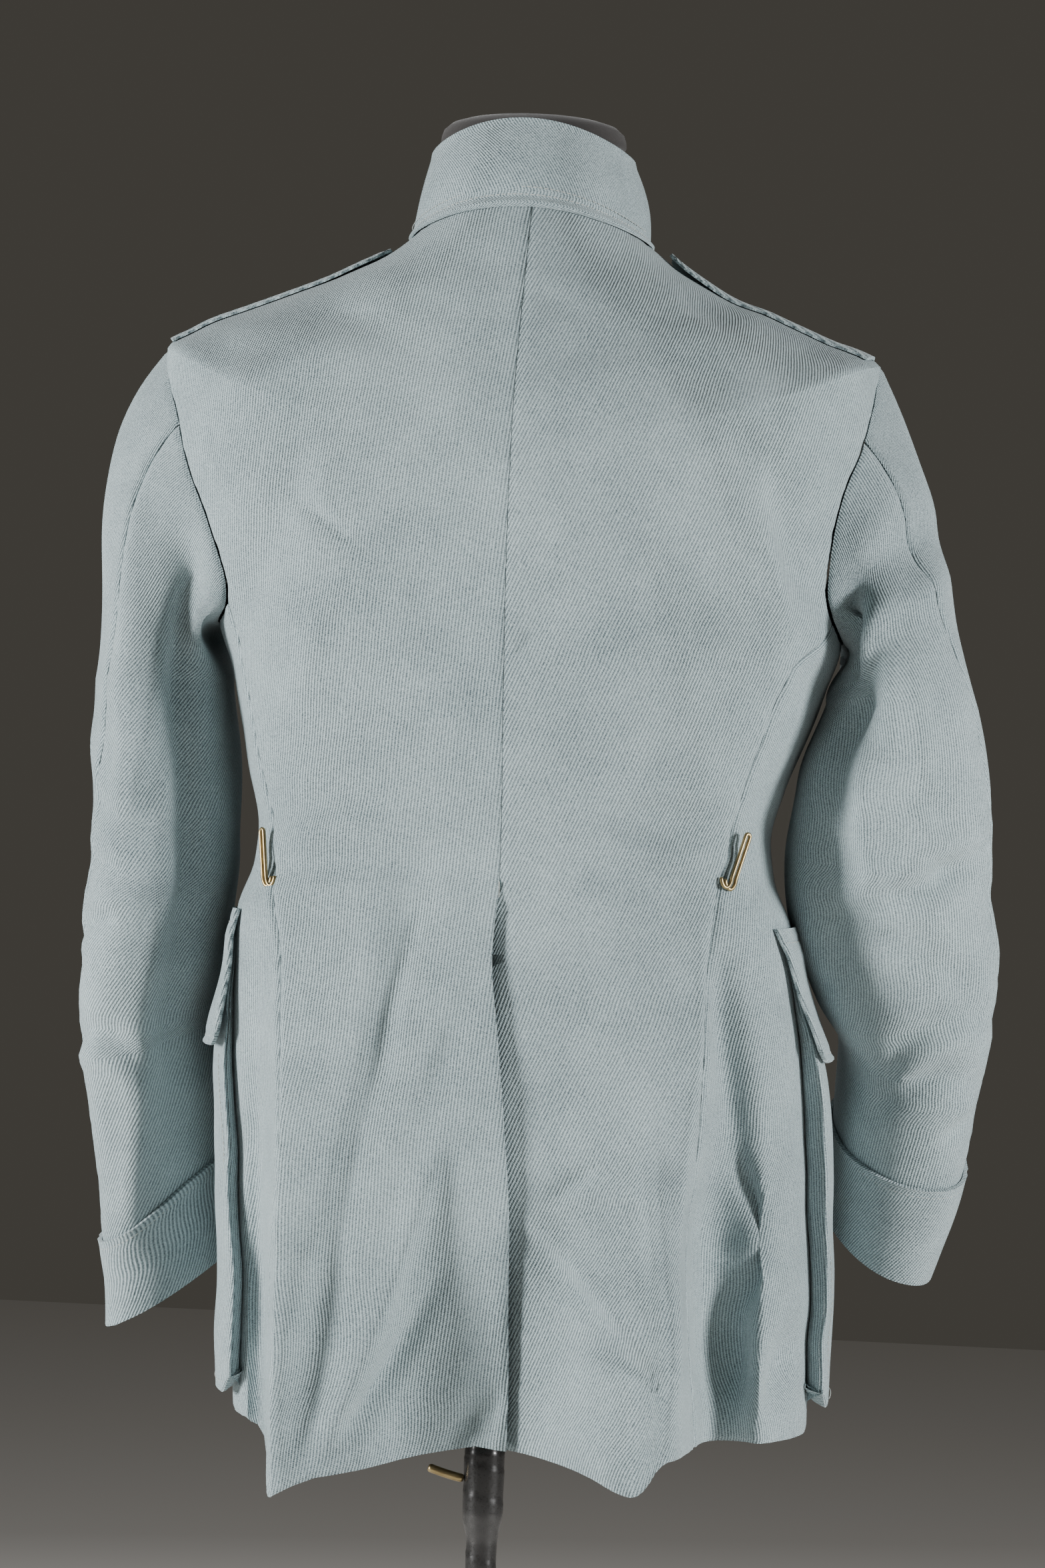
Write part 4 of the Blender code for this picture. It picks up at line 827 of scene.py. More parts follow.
def back_panel(side):
    """One back panel. The left one lifts beside the vent, and the right one runs on under it."""
    rows = back_rows(side)
    levels, side_edge = rows[:, 0], rows[:, 1]
    centre_x = np.full(len(levels), CENTRE_SEAM_X + side * GAP / 2)
    opened = eased((VENT_TOP + 0.010 - levels) / 0.012)
    drop = np.clip((VENT_TOP - levels) / 0.012, 0, 1)
    if side > 0:
        vent_x = by_level(VENT_EDGE, np.minimum(levels, VENT_EDGE[-1][0])) + VENT_GAPE * vent_wedge(levels)
        centre_x = centre_x + (vent_x - centre_x) * drop
        out = (CLOTH + 1.5 * GAP) * opened + VENT_LIFT * eased((VENT_TOP + 0.004 - levels) / 0.06)
    else:
        centre_x = centre_x + (VENT_UNDERLAP - centre_x) * drop
        out = 0 * levels
    centre_edge = angle_at(centre_x, levels)
    share = spread(0.15)
    angles = fan(centre_edge, side_edge, share)
    grid = with_hem(angles, np.repeat(levels[:, None], len(share), axis=1))
    lift = out[:, None] * (1 - eased((share - 0.38) / 0.4))[None, :]
    if side < 0:
        # The underlap sinks in behind the left panel's edge, which leaves the dark gap of the vent
        past_seam = eased((body_point(angles, grid)[..., 0] - CENTRE_SEAM_X + 0.001) / 0.006)
        sunk = (VENT_SINK + VENT_WEDGE_SINK * vent_wedge(levels)) * eased((VENT_TOP - levels) / 0.02)
        lift = lift - sunk[:, None] * past_seam
    # The wale is laid from the centre seam, so it runs on unbroken where the underlap widens the panel
    shift = CENTRE_SEAM_X + side * GAP / 2 - centre_x
    return body_cloth("back", side, angles, grid, lift, shift)


for side, word in WORDS.items():
    wear(back_panel(side), f"back_{word}")

# %% [markdown]
# Each side body is one narrow piece from the side-back seam to the side-front seam, ending in the foot of the
# armhole. The fronts are plain, as the photograph doesn't show them: six buttons and a left-over-right lap.

# %% Side bodies and fronts
def side_panel(side):
    """A side body, whose top is the foot of the armhole."""
    levels = panel_levels()
    share = spread(0.125)
    turns = SIDE_TOP_TURN + (360 - 2 * SIDE_TOP_TURN) * share
    top_angle, top_level = armhole(turns, side)
    share = (top_angle - top_angle[0]) / (top_angle[-1] - top_angle[0])
    first = seam_angle(levels, side, GAP / 2)
    last = np.full(len(levels), side * (SIDE_FRONT_SEAM - SIDE_CLEAR))
    angles = fan(first, last, share)
    grid = with_hem(angles, np.repeat(levels[:, None], len(share), axis=1))
    parts = CORNER_PARTS[:, None]
    angles = np.vstack([angles, angles[-1:] + (top_angle[None, :] - angles[-1:]) * parts])
    grid = np.vstack([grid, grid[-1:] + (top_level[None, :] - grid[-1:]) * parts])
    return body_cloth("side", side, angles, grid, 0 * grid)


def front_rows(side):
    """Row levels of a front with the angle of its side edge."""
    start = side * (SIDE_FRONT_SEAM + SIDE_CLEAR)
    rows = [(level, start) for level in panel_levels()]
    corner_angle, corner_level = armhole(360 - SIDE_TOP_TURN, side)
    for part in CORNER_PARTS:
        rows.append((STRAIGHT_TOP + (float(corner_level) - STRAIGHT_TOP) * part,
                     start + (float(corner_angle) + side * ARMHOLE_CLEAR - start) * part))
    for turn in rows_between(SIDE_TOP_TURN, 0.0, ARMHOLE_STEP)[1:]:
        angle, level = armhole(360 - turn, side)
        angle = side * 90.0 if turn == 0 else float(angle)
        rows.append((float(level), angle + side * ARMHOLE_CLEAR))
    for level in rows_between(TIP_LEVEL, NECK_LEVEL, SHOULDER_STEP)[1:]:
        rows.append((float(level), side * (90.0 + SHOULDER_CLEAR)))
    return rows


def front_panel(side):
    """A front, from the side-front seam past the middle by the lap. The left one lies over the right."""
    rows = front_rows(side)
    levels = np.array([row[0] for row in rows])
    first = np.array([row[1] for row in rows])
    half = body_value("right" if side > 0 else "left", levels)
    past = np.degrees(np.arcsin((FRONT_LAP / half) ** (body_value("power", levels) / 2)))
    last = side * (180.0 + past)
    share = spread(0.17)
    angles = fan(first, last, share)
    grid = with_hem(angles, np.repeat(levels[:, None], len(share), axis=1))
    lift = lap_lift(angles, grid) * (side > 0)
    return body_cloth("front", side, angles, grid, lift)


for side, word in WORDS.items():
    wear(side_panel(side), f"side_{word}")
    wear(front_panel(side), f"front_{word}")

# %% [markdown]
# A two-piece sleeve hangs as a bent tube. Its head leaves the armhole nearly along the shoulder and turns
# down, and below that measured rows give its centre, its half widths and the twist of the arm.

# %% Sizes and surface of the sleeves
# Level, distance from the middle, place behind, half width across, half width fore and aft, twist in degrees
SLEEVE_ROWS = {
    1: (
        (0.100, 0.2096, 0.004, 0.0406, 0.066, 0.0),
        (0.050, 0.2066, 0.003, 0.0421, 0.069, 0.0),
        (0.000, 0.2061, 0.000, 0.0421, 0.069, 2.0),
        (-0.050, 0.2121, -0.008, 0.0421, 0.066, 6.0),
        (-0.100, 0.2150, -0.018, 0.0377, 0.062, 12.0),
        (-0.150, 0.2080, -0.028, 0.0372, 0.058, 18.0),
        (-0.195, 0.2028, -0.038, 0.0322, 0.055, 24.0),
        (-0.238, 0.1996, -0.048, 0.0289, 0.049, 30.0),
        (-0.267, 0.2002, -0.053, 0.0284, 0.0480, 32.0),
    ),
    -1: (
        (0.100, 0.2340, 0.004, 0.0445, 0.066, 0.0),
        (0.050, 0.2298, 0.002, 0.0572, 0.066, 4.0),
        (0.000, 0.2293, -0.004, 0.0622, 0.062, 8.0),
        (-0.050, 0.2380, -0.018, 0.0565, 0.060, 10.0),
        (-0.100, 0.2470, -0.038, 0.0440, 0.060, 12.0),
        (-0.150, 0.2418, -0.058, 0.0388, 0.057, 16.0),
        (-0.190, 0.2360, -0.075, 0.0334, 0.053, 20.0),
        (-0.2225, 0.2275, -0.088, 0.0288, 0.0505, 24.0),
    ),
}
# How the sleeve's end hangs lower outside, and how far its head spreads at the shoulder and at the armpit
SLEEVE_END_LEAN = {1: 0.66, -1: 0.14}
HEAD_SPREAD = {1: 0.84, -1: 0.49}
FOOT_SPREAD = {1: 0.85, -1: 0.60}
HEAD_LEAN = {1: 0.12, -1: 0.26}
HEAD_START = {1: 0.0004, -1: 0.0005}
# The hind seam's turn by its share of the way from the armhole to the sleeve's end
HIND_SEAM = {
    1: ((0.0, 62.0), (0.25, 55.0), (0.5, 50.0), (0.72, 30.0), (0.88, 38.0), (1.0, 46.0)),
    -1: ((0.0, 62.0), (0.25, 50.0), (0.5, 22.0), (0.72, 20.0), (0.88, 26.0), (1.0, 30.0)),
}
FORE_SEAM = 246.0
SEAM_TURN = 0.4
CUFF_DEPTH = 0.062
SLEEVE_SQUARE = 2.25
RING_STEP = 0.02


def sleeve_value(side, down, column):
    """A column of a sleeve's table at a share of its way from the first row to the last."""
    rows = SLEEVE_ROWS[side]
    span = rows[0][0] - rows[-1][0]
    return smooth_table(down, [(rows[0][0] - row[0]) / span for row in rows], [row[column] for row in rows])


def sleeve_ring(side, turn, down):
    """Points of a sleeve below the armpit, by turn round it from the outside over the back."""
    turn, down = np.broadcast_arrays(np.radians(np.asarray(turn, float)), np.asarray(down, float))
    centre = np.stack([side * sleeve_value(side, down, 1), sleeve_value(side, down, 2),
                       WAIST_Z + sleeve_value(side, down, 0)], axis=-1)
    ahead, behind = np.minimum(down + RING_STEP, 1), np.maximum(down - RING_STEP, 0)
    way = np.stack([side * (sleeve_value(side, ahead, 1) - sleeve_value(side, behind, 1)),
                    sleeve_value(side, ahead, 2) - sleeve_value(side, behind, 2),
                    sleeve_value(side, ahead, 0) - sleeve_value(side, behind, 0)], axis=-1)
    turned = eased(down * 3)[..., None]
    way = unit(way) * turned + np.array([0.0, 0.0, -1.0]) * (1 - turned)
    way = unit(way)
    outward = np.zeros_like(way)
    outward[..., 0] = side
    outward = unit(outward - way * np.sum(outward * way, axis=-1, keepdims=True))
    rear = np.cross(way, outward) * side
    rear = rear * np.sign(rear[..., 1:2])
    power = 2 / SLEEVE_SQUARE
    across = sleeve_value(side, down, 3) * np.sign(np.cos(turn)) * np.abs(np.cos(turn)) ** power
    fore = sleeve_value(side, down, 4) * np.sign(np.sin(turn)) * np.abs(np.sin(turn)) ** power
    twist = np.radians(sleeve_value(side, down, 5))
    outside = across * np.cos(twist) + fore * np.sin(twist)
    behind = fore * np.cos(twist) - across * np.sin(twist)
    points = centre + outward * outside[..., None] + rear * behind[..., None]
    # Towards its end the sleeve hangs lower on the outside
    points[..., 2] = points[..., 2] - SLEEVE_END_LEAN[side] * eased(down * 2.5 - 1.25) * outside
    return points


def sleeve_point(side, turn, along):
    """Points of a whole sleeve: along runs from -1 at the armhole through 0 below the armpit to 1."""
    turn, along = np.broadcast_arrays(np.asarray(turn, float), np.asarray(along, float))
    lower = sleeve_ring(side, turn, np.clip(along, 0, 1))
    angle, level = armhole(turn, side)
    start = off_body(angle, level, 0.0 * level) + np.array([side * HEAD_START[side], 0.0, 0.0])
    end = sleeve_ring(side, turn, np.zeros_like(along))
    length = np.linalg.norm(end - start, axis=-1, keepdims=True)
    radians = np.radians(turn)
    top = np.clip(np.cos(radians), 0, 1)
    foot = np.clip(-np.cos(radians), 0, 1)
    leave = np.stack([side * (0.55 + (HEAD_SPREAD[side] - 0.55) * top + FOOT_SPREAD[side] * foot),
                      -0.12 * np.abs(np.sin(radians)),
                      -0.80 - 0.15 * top + 0.35 * foot], axis=-1) * length
    arrive = np.stack([side * HEAD_LEAN[side] + 0 * turn, 0 * turn, 0 * turn - 1], axis=-1) * length
    part = np.clip(along + 1, 0, 1)[..., None]
    head = (start * (1 + 2 * part) * (1 - part) ** 2 + leave * part * (1 - part) ** 2
            + end * part**2 * (3 - 2 * part) + arrive * part**2 * (part - 1))
    return np.where((along < 0)[..., None], head, lower)


def hind_turn(side, along):
    """The turn of the hind seam, at a way along the sleeve."""
    places = [row[0] for row in HIND_SEAM[side]]
    return smooth_table((np.asarray(along) + 1) / 2, places, [row[1] for row in HIND_SEAM[side]])


def cuff_start(side):
    """How far along the arm the cuff's upper edge lies."""
    rows = SLEEVE_ROWS[side]
    return 1 - CUFF_DEPTH * 0.97 / (rows[0][0] - rows[-1][0])

print("left cuff starts at", round(cuff_start(1), 2), "of the way down")

# %% Creases of the sleeves
# Turn round the arm (0 outside, 90 behind), level, half length, lean, bend, width, depth
SLEEVE_CREASES = {
    1: (
        (128.0, 0.04, 0.19, 84.0, 0.0, 0.021, -0.009),
        (76.0, 0.04, 0.19, 84.0, 0.0, 0.011, 0.0026),
        (60.0, -0.012, 0.026, 18.0, 5.0, 0.006, -0.0026),
        (70.0, -0.03, 0.024, -14.0, 5.0, 0.006, 0.0022),
        (108.0, 0.2, 0.08, 78.0, 1.0, 0.012, -0.0034),
        (112.0, 0.11, 0.08, -70.0, -1.0, 0.013, 0.003),
        (95.0, 0.05, 0.09, -76.0, 0.6, 0.012, -0.0036),
        (60.0, 0.02, 0.03, 20.0, 6.0, 0.007, -0.002),
        (50.0, -0.045, 0.034, -16.0, 6.0, 0.007, -0.0022),
        (80.0, -0.112, 0.04, 12.0, 8.0, 0.0065, -0.0032),
        (70.0, -0.126, 0.034, 6.0, 8.0, 0.006, 0.0022),
        (95.0, -0.06, 0.08, -84.0, 0.4, 0.012, -0.003),
        (105.0, -0.18, 0.06, -80.0, 0.4, 0.012, 0.0026),
        (20.0, 0.06, 0.05, 30.0, 4.0, 0.012, 0.0016),
        (0.0, -0.08, 0.05, -24.0, 4.0, 0.012, -0.0018),
        (-60.0, -0.02, 0.06, 16.0, 8.0, 0.01, -0.0036),
        (-70.0, 0.03, 0.055, -14.0, 8.0, 0.01, -0.003),
        (-50.0, 0.14, 0.07, 70.0, 1.0, 0.014, -0.003),
        (-60.0, -0.13, 0.06, -60.0, 1.0, 0.012, 0.0024),
    ),
    -1: (
        (70.0, -0.002, 0.04, -25.0, 1.5, 0.008, -0.0046),
        (74.0, 0.014, 0.04, -25.0, 1.5, 0.009, 0.0026),
        (136.0, 0.07, 0.13, 88.0, 0.0, 0.02, -0.008),
        (86.0, 0.08, 0.11, 86.0, 0.0, 0.011, 0.0024),
        (60.0, -0.15, 0.022, -22.0, 4.0, 0.005, -0.0024),
        (52.0, -0.135, 0.02, -20.0, 4.0, 0.005, 0.0018),
        (88.0, 0.18, 0.075, -30.0, 3.0, 0.012, -0.0044),
        (95.0, 0.148, 0.07, -34.0, 3.0, 0.01, 0.004),
        (104.0, 0.125, 0.06, -52.0, 1.0, 0.011, -0.0044),
        (70.0, 0.23, 0.06, -60.0, 1.0, 0.014, 0.0016),
        (58.0, 0.12, 0.11, -88.0, 0.4, 0.016, -0.0022),
        (86.0, 0.05, 0.05, 44.0, -3.0, 0.01, -0.003),
        (66.0, 0.004, 0.036, 34.0, -6.0, 0.008, -0.0026),
        (98.0, 0.0, 0.06, 74.0, 1.0, 0.012, 0.0034),
        (92.0, -0.04, 0.05, 30.0, 4.0, 0.009, -0.0034),
        (80.0, -0.088, 0.05, -22.0, 6.0, 0.008, -0.0036),
        (92.0, -0.104, 0.044, -34.0, 5.0, 0.007, 0.0028),
        (104.0, -0.125, 0.036, -20.0, 5.0, 0.0065, -0.0026),
        (60.0, -0.12, 0.04, 16.0, 6.0, 0.008, -0.0016),
        (30.0, -0.06, 0.06, -60.0, 1.0, 0.014, 0.0016),
        (-60.0, -0.04, 0.06, -16.0, 8.0, 0.01, -0.0036),
        (-70.0, 0.01, 0.055, 14.0, 8.0, 0.01, -0.003),
        (-50.0, 0.13, 0.07, -70.0, 1.0, 0.014, -0.003),
    ),
}
ARM_RADIUS = 0.056
SLEEVE_CREASE_SCALE = 1.5


def sleeve_crease(side, turn, along):
    """How far the creases move the sleeve out."""
    points = sleeve_point(side, turn, along)
    level = points[..., 2] - WAIST_Z
    folded = (np.asarray(turn, float) + 180) % 360 - 180
    height = np.zeros(level.shape)
    for middle, *rest in SLEEVE_CREASES[side]:
        apart = (folded - middle + 180) % 360 - 180
        around = np.radians(apart) * ARM_RADIUS * side * -1
        height += crease_field([(0.0, *rest)], around, level)
    settled = eased((np.asarray(along, float) + 1.0) / 0.35) * eased((1.0 - np.asarray(along, float)) / 0.12)
    return (SLEEVE_CREASE_SCALE * height + ripple(points, 19 + side) - 0.0008) * settled


def off_sleeve(side, turn, along, out):
    """Points moved out of a sleeve's creased surface."""
    turn, along = np.broadcast_arrays(np.asarray(turn, float), np.asarray(along, float))
    around = sleeve_point(side, turn + 1.5, along) - sleeve_point(side, turn - 1.5, along)
    down = (sleeve_point(side, turn, np.minimum(along + 0.01, 1))
            - sleeve_point(side, turn, np.maximum(along - 0.01, -1)))
    normal = unit(np.cross(around, down)) * side
    across = sleeve_point(side, turn, along) - sleeve_point(side, turn + 180, along)
    normal = normal * np.where(np.sum(normal * across, axis=-1, keepdims=True) < 0, -1, 1)
    distance = np.asarray(out) + sleeve_crease(side, turn, along)
    return sleeve_point(side, turn, along) + normal * distance[..., None]


print("sleeve creases:", len(SLEEVE_CREASES[1]), "and", len(SLEEVE_CREASES[-1]))

# %% Sleeves
def sleeve_ways():
    """Rows down the arm: close together at the head seam and the end."""
    head = -1 + np.concatenate([[0.0, 0.006, 0.014, 0.028, 0.045], np.linspace(0.07, 1.0, 38)])
    arm = np.linspace(0, 1, 84)[1:]
    end = 1 - np.array([0.012, 0.007, 0.0035])
    return np.unique(np.concatenate([head, arm[arm < 0.985], end, [1.0]]))


SLEEVE_GRAIN = {("top", 1): 54.0, ("under", 1): 56.0, ("top", -1): 98.0, ("under", -1): 84.0}


def sleeve_piece(side, kind):
    """The top or under half of a sleeve, between the hind seam and the fore seam."""
    along = sleeve_ways()
    hind = hind_turn(side, along)
    share = spread(0.19 if kind == "top" else 0.13)
    if kind == "top":
        first = np.full(len(along), FORE_SEAM - 360 + SEAM_TURN)
        last = hind - SEAM_TURN
    else:
        first = hind + SEAM_TURN
        last = np.full(len(along), FORE_SEAM - SEAM_TURN)
    turns = fan(first, last, share)
    ways = np.repeat(along[:, None], len(share), axis=1)
    flat = off_sleeve(side, turns, ways, 0 * turns)
    relief = relief_at_edges(flat, 41 + side + (5 if kind == "top" else 0))
    # The outer face keeps clear of the cuff, which lies over the sleeve's end
    bare = eased((cuff_start(side) - ways) / 0.03)
    outer = off_sleeve(side, turns, ways, np.minimum(relief, relief * bare))
    inner = off_sleeve(side, turns, ways, 0 * turns - CLOTH)
    return cloth_wall(f"{kind}_sleeve_{WORDS[side]}_cloth", outer, inner, SLEEVE_GRAIN[kind, side], side)


for side, word in WORDS.items():
    for kind in ("top", "under"):
        wear(sleeve_piece(side, kind), f"{kind}_sleeve_{word}")

# %% [markdown]
# The deep cuffs are tubes over the sleeve ends, whose upper edge is rolled under and stitched down.

# %% Cuffs
CUFF_GRAIN = {1: 62.0, -1: 74.0}


def cuff_piece(side):
    """A cuff: a ring of cloth with a rolled upper edge and a seam over the sleeve's hind seam."""
    start = cuff_start(side)
    near = np.array([0.0, 0.002, 0.005, 0.010, 0.017])
    along = start + (1 - start) * np.concatenate([near, np.linspace(0.03, 0.97, 16), 1 - near[::-1]])
    along[-1] = 1.0
    hind = hind_turn(side, along)[:, None]
    share = np.linspace(0, 1, 40)[None, :-1]
    fore = FORE_SEAM - 360
    turns = np.concatenate([fore + (hind - fore) * share, hind + (FORE_SEAM - hind) * share], axis=1)
    ways = np.repeat(along[:, None], turns.shape[1], axis=1)
    from_top = (along - start)[:, None] * 0.38
    lip = 0.0004 * bell(from_top, 0.0018)
    lip = lip - 0.0004 * bell(from_top - 0.0045, 0.0014)
    from_seam = np.abs(np.radians(turns - hind)) * ARM_RADIUS
    seam = -0.0007 * bell(from_seam, 0.0014)
    seam = seam + 0.0004 * bell(from_seam - 0.004, 0.0025)
    inner = off_sleeve(side, turns, ways, 0 * ways + 2 * GAP)
    outer = off_sleeve(side, turns, ways, 0 * ways + 2 * GAP + CLOTH + lip + seam)
    return cloth_wall(f"cuff_{WORDS[side]}_cloth", outer, inner, CUFF_GRAIN[side], side, ring=True)


for side, word in WORDS.items():
    wear(cuff_piece(side), f"cuff_{word}")

# %% [markdown]
# The hip pockets stand off the skirt on bellows. Their outer leaf turns under at the sides and foot. The flap
# is sewn along its top and hangs free, so its lower edge stands out and shadows the pocket.

# %% Sizes of the pockets
POCKET_WIDTH = 0.165
POCKET_TOP = -0.050
POCKET_FOOT = -0.319
POCKET_STAND = {1: 0.0100, -1: 0.0135}
POCKET_TOP_STAND = 0.0030
POCKET_GRAIN = {1: 80.0, -1: 92.0}
SEAT = 0.0007
FLAP_TOP = -0.034
FLAP_FOOT = -0.114
FLAP_STAND = {1: 0.0155, -1: 0.0185}
FLAP_OVERHANG = 0.006
FLAP_GRAIN = {1: 78.0, -1: 96.0}
# How far in from the flap's edge and down from its top its stitching runs
FLAP_STITCH = 0.0052
FLAP_TOP_STITCH = 0.008
# Level, then the angle of the pocket's rear edge on the left and on the right
REAR_EDGE = (
    (-0.345, 60.0, 84.0),
    (-0.270, 61.0, 83.0),
    (-0.200, 62.5, 81.0),
    (-0.130, 65.0, 79.0),
    (-0.065, 68.0, 76.0),
    (-0.034, 68.5, 71.0),
)


def rear_angle(level, side):
    """How far round the body the pocket's rear edge lies, in degrees from the centre back."""
    return by_level(REAR_EDGE, level, 1 if side > 0 else 2)


def panel_angle(level, side, forward):
    """The angle of a point of the front, by its way forward along the cloth from the pocket's rear edge."""
    half = body_value("left" if side > 0 else "right", level)
    arc = (half + body_value("front", level)) / 2 * 1.12
    return side * (rear_angle(level, side) + np.degrees(forward / arc))


def pocket_lift(level, side):
    """How far the pocket's outside stands off the skirt."""
    return POCKET_TOP_STAND + (POCKET_STAND[side] - POCKET_TOP_STAND) * eased((POCKET_TOP - level) / 0.085)

print("pocket width:", POCKET_WIDTH)

# %% Pockets and flaps
# How high each line of the pocket's turned-under edge stands, and where it lies in from the side and the foot
TURNED_UNDER = np.array([0.0, 0.3, 0.72, 0.9, 0.965, 0.99, 1.0])
SIDE_LINES = np.array([0.009, 0.0045, 0.0012, 0.0, 0.0006, 0.002, 0.005])
FOOT_LINES = np.array([0.007, 0.0035, 0.0010, 0.0, 0.0006, 0.002, 0.005])
TOP_LINES = np.array([0.0, 0.0007, 0.0016, 0.003])
POCKET_COLUMNS = 32


def pocket_piece(side):
    """The bellows pocket: a grid whose first and last lines are turned under."""
    flat_part = np.linspace(0.010, POCKET_WIDTH - 0.010, POCKET_COLUMNS)
    forward = np.concatenate([SIDE_LINES, flat_part, POCKET_WIDTH - SIDE_LINES[::-1]])
    high = np.concatenate([TURNED_UNDER, np.ones(POCKET_COLUMNS), TURNED_UNDER[::-1]])
    middle_rows = rows_between(POCKET_TOP - 0.007, POCKET_FOOT + 0.001, PANEL_STEP)
    levels = np.concatenate([POCKET_TOP - TOP_LINES, middle_rows, POCKET_FOOT + FOOT_LINES[::-1]])
    up = np.ones(len(levels))
    up[-len(TURNED_UNDER):] = TURNED_UNDER[::-1]
    places, heights = np.meshgrid(forward, levels)
    lifted = np.minimum(high[None, :], up[:, None])
    near_side = np.clip(1 - np.minimum(places, POCKET_WIDTH - places) / 0.016, 0, 1)
    near_foot = np.clip(1 - (heights - POCKET_FOOT) / 0.022, 0, 1)
    heights = heights + 0.011 * near_side * near_foot
    stand = pocket_lift(heights, side) * lifted + SEAT * (1 - lifted)
    swell = 0.0016 * np.sin(places * 46.0 + 1.0) * np.sin(heights * 23.0 + side) * lifted**2
    stand = stand + np.where(stand > 0.006, swell, 0.0)
    outer = off_body(panel_angle(heights, side, places), heights, stand)
    inward = (0.0022 * (1 - lifted**3)) * np.where(places < POCKET_WIDTH / 2, 1, -1)
    foot_rise = 0.0024 * (1 - up[:, None] ** 3) + 0 * places
    inside = np.maximum(stand - CLOTH, SEAT * 0.8)
    inner = off_body(panel_angle(heights + foot_rise, side, places + inward), heights + foot_rise, inside)
    return cloth_wall(f"pocket_{WORDS[side]}_cloth", outer, inner, POCKET_GRAIN[side], -side)


def flap_low(heights):
    """0 on most of a flap, growing to 1 near its lower edge."""
    return np.clip((-0.090 - heights) / 0.02, 0, 1)


def flap_inside(side, places, heights, low):
    """How far a flap's inner face stands off the skirt: seated at its top, swung out and wavy below."""
    clear = pocket_lift(heights, side) + 2 * GAP
    near_top = np.clip((FLAP_TOP - heights) / 0.016, 0, 1)
    spare = FLAP_STAND[side] - CLOTH - POCKET_STAND[side] - 2 * GAP
    swung = spare * eased((-0.06 - heights) / 0.05)
    return SEAT + (clear - SEAT) * near_top + swung + 0.0012 * low * np.sin(places * 70.0) ** 2


def flap_piece(side):
    """A flap sewn along its top, with rounded lower corners and a rolled, stitched edge."""
    width = POCKET_WIDTH + 2 * FLAP_OVERHANG
    forward = -FLAP_OVERHANG + width * spread(width, 0.004)
    middle_rows = rows_between(FLAP_TOP - 0.0045, FLAP_FOOT + 0.006, 0.003)
    levels = np.concatenate([FLAP_TOP - np.array([0.0, 0.0006, 0.0016, 0.003]), middle_rows,
                             FLAP_FOOT + np.array([0.004, 0.0022, 0.001, 0.0003, 0.0])])
    places, heights = np.meshgrid(forward, levels)
    from_side = np.minimum(places + FLAP_OVERHANG, POCKET_WIDTH + FLAP_OVERHANG - places)
    corner = 1 - np.clip(from_side / 0.012, 0, 1)
    low = flap_low(heights)
    heights = heights + 0.009 * corner**1.5 * low
    inside = flap_inside(side, places, heights, low)
    # The folded edge is a soft rope, with the stitching pressed in beside it
    edge = np.minimum(from_side, (heights - FLAP_FOOT))
    rope = 0.0009 * bell(edge - 0.0018, 0.0016)
    rope = rope - 0.0006 * bell(edge - FLAP_STITCH, 0.0013)
    rope = rope - 0.0008 * bell(edge, 0.0006)
    top_edge = FLAP_TOP - heights
    rope = rope - 0.0005 * bell(top_edge - FLAP_TOP_STITCH, 0.0014)
    angles = panel_angle(heights, side, places)
    outer = off_body(angles, heights, inside + CLOTH + rope)
    inner = off_body(angles, heights, inside)
    return cloth_wall(f"flap_{WORDS[side]}_cloth", outer, inner, FLAP_GRAIN[side], -side)


for side, word in WORDS.items():
    wear(pocket_piece(side), f"pocket_{word}")
    wear(flap_piece(side), f"flap_{word}")

# %% [markdown]
# The collar stands round the neck and folds over itself. Its fall reaches down to the neck seam, where its
# thick piped edge casts a small shadow on the back. The stand inside is a second, lower band.

# %% Collar
COLLAR_FOOT = {
    "back_z": 0.3845, "side_z": 0.3665, "front_z": 0.305,
    "side": 0.0715, "back": 0.0745, "front": 0.071,
}
COLLAR_TOP = {
    "back_z": 0.4325, "side_z": 0.4175, "front_z": 0.362,
    "side": 0.0610, "back": 0.0660, "front": 0.061,
}
COLLAR_FOOT_LEVEL = 0.3665
COLLAR_EDGE_TOP = 0.14
COLLAR_EDGE_DEPTH = 0.0068
COLLAR_STITCH = 0.0050
COLLAR_GRAIN = 97.0
# The fall's roll over the top: how far in and down the outer face lies, then the inner face
COLLAR_ROLL_ROWS = (
    (0.0008, 0.0, 0.0024, 0.0020),
    (0.0050, 0.0, 0.0036, 0.0020),
    (0.0062, 0.0030, 0.0042, 0.0030),
    (0.0062, 0.0090, 0.0042, 0.0090),
)
COLLAR_OPENING = 6.0


def collar_point(angle, up):
    """Points of the collar's outside, up from its foot at 0 to its top at 1."""
    turn = np.radians(angle)
    sine, cosine = np.sin(turn), np.cos(turn)
    end = np.where(cosine >= 0, "back", "front")
    point = []
    for sizes in (COLLAR_FOOT, COLLAR_TOP):
        reach = np.where(end == "back", sizes["back"], sizes["front"])
        height = np.where(end == "back", sizes["back_z"], sizes["front_z"])
        point.append(np.stack([sizes["side"] * sine + COLLAR_SHIFT_X, 0.005 + reach * cosine,
                               WAIST_Z + sizes["side_z"] + (height - sizes["side_z"]) * cosine**2], axis=-1))
    up = np.asarray(up)[..., None]
    swell = 0.0022 * np.sin(math.pi * np.clip(up, 0, 1))
    outward = np.stack([sine, cosine, 0 * sine], axis=-1)
    return point[0] + (point[1] - point[0]) * up + outward * swell


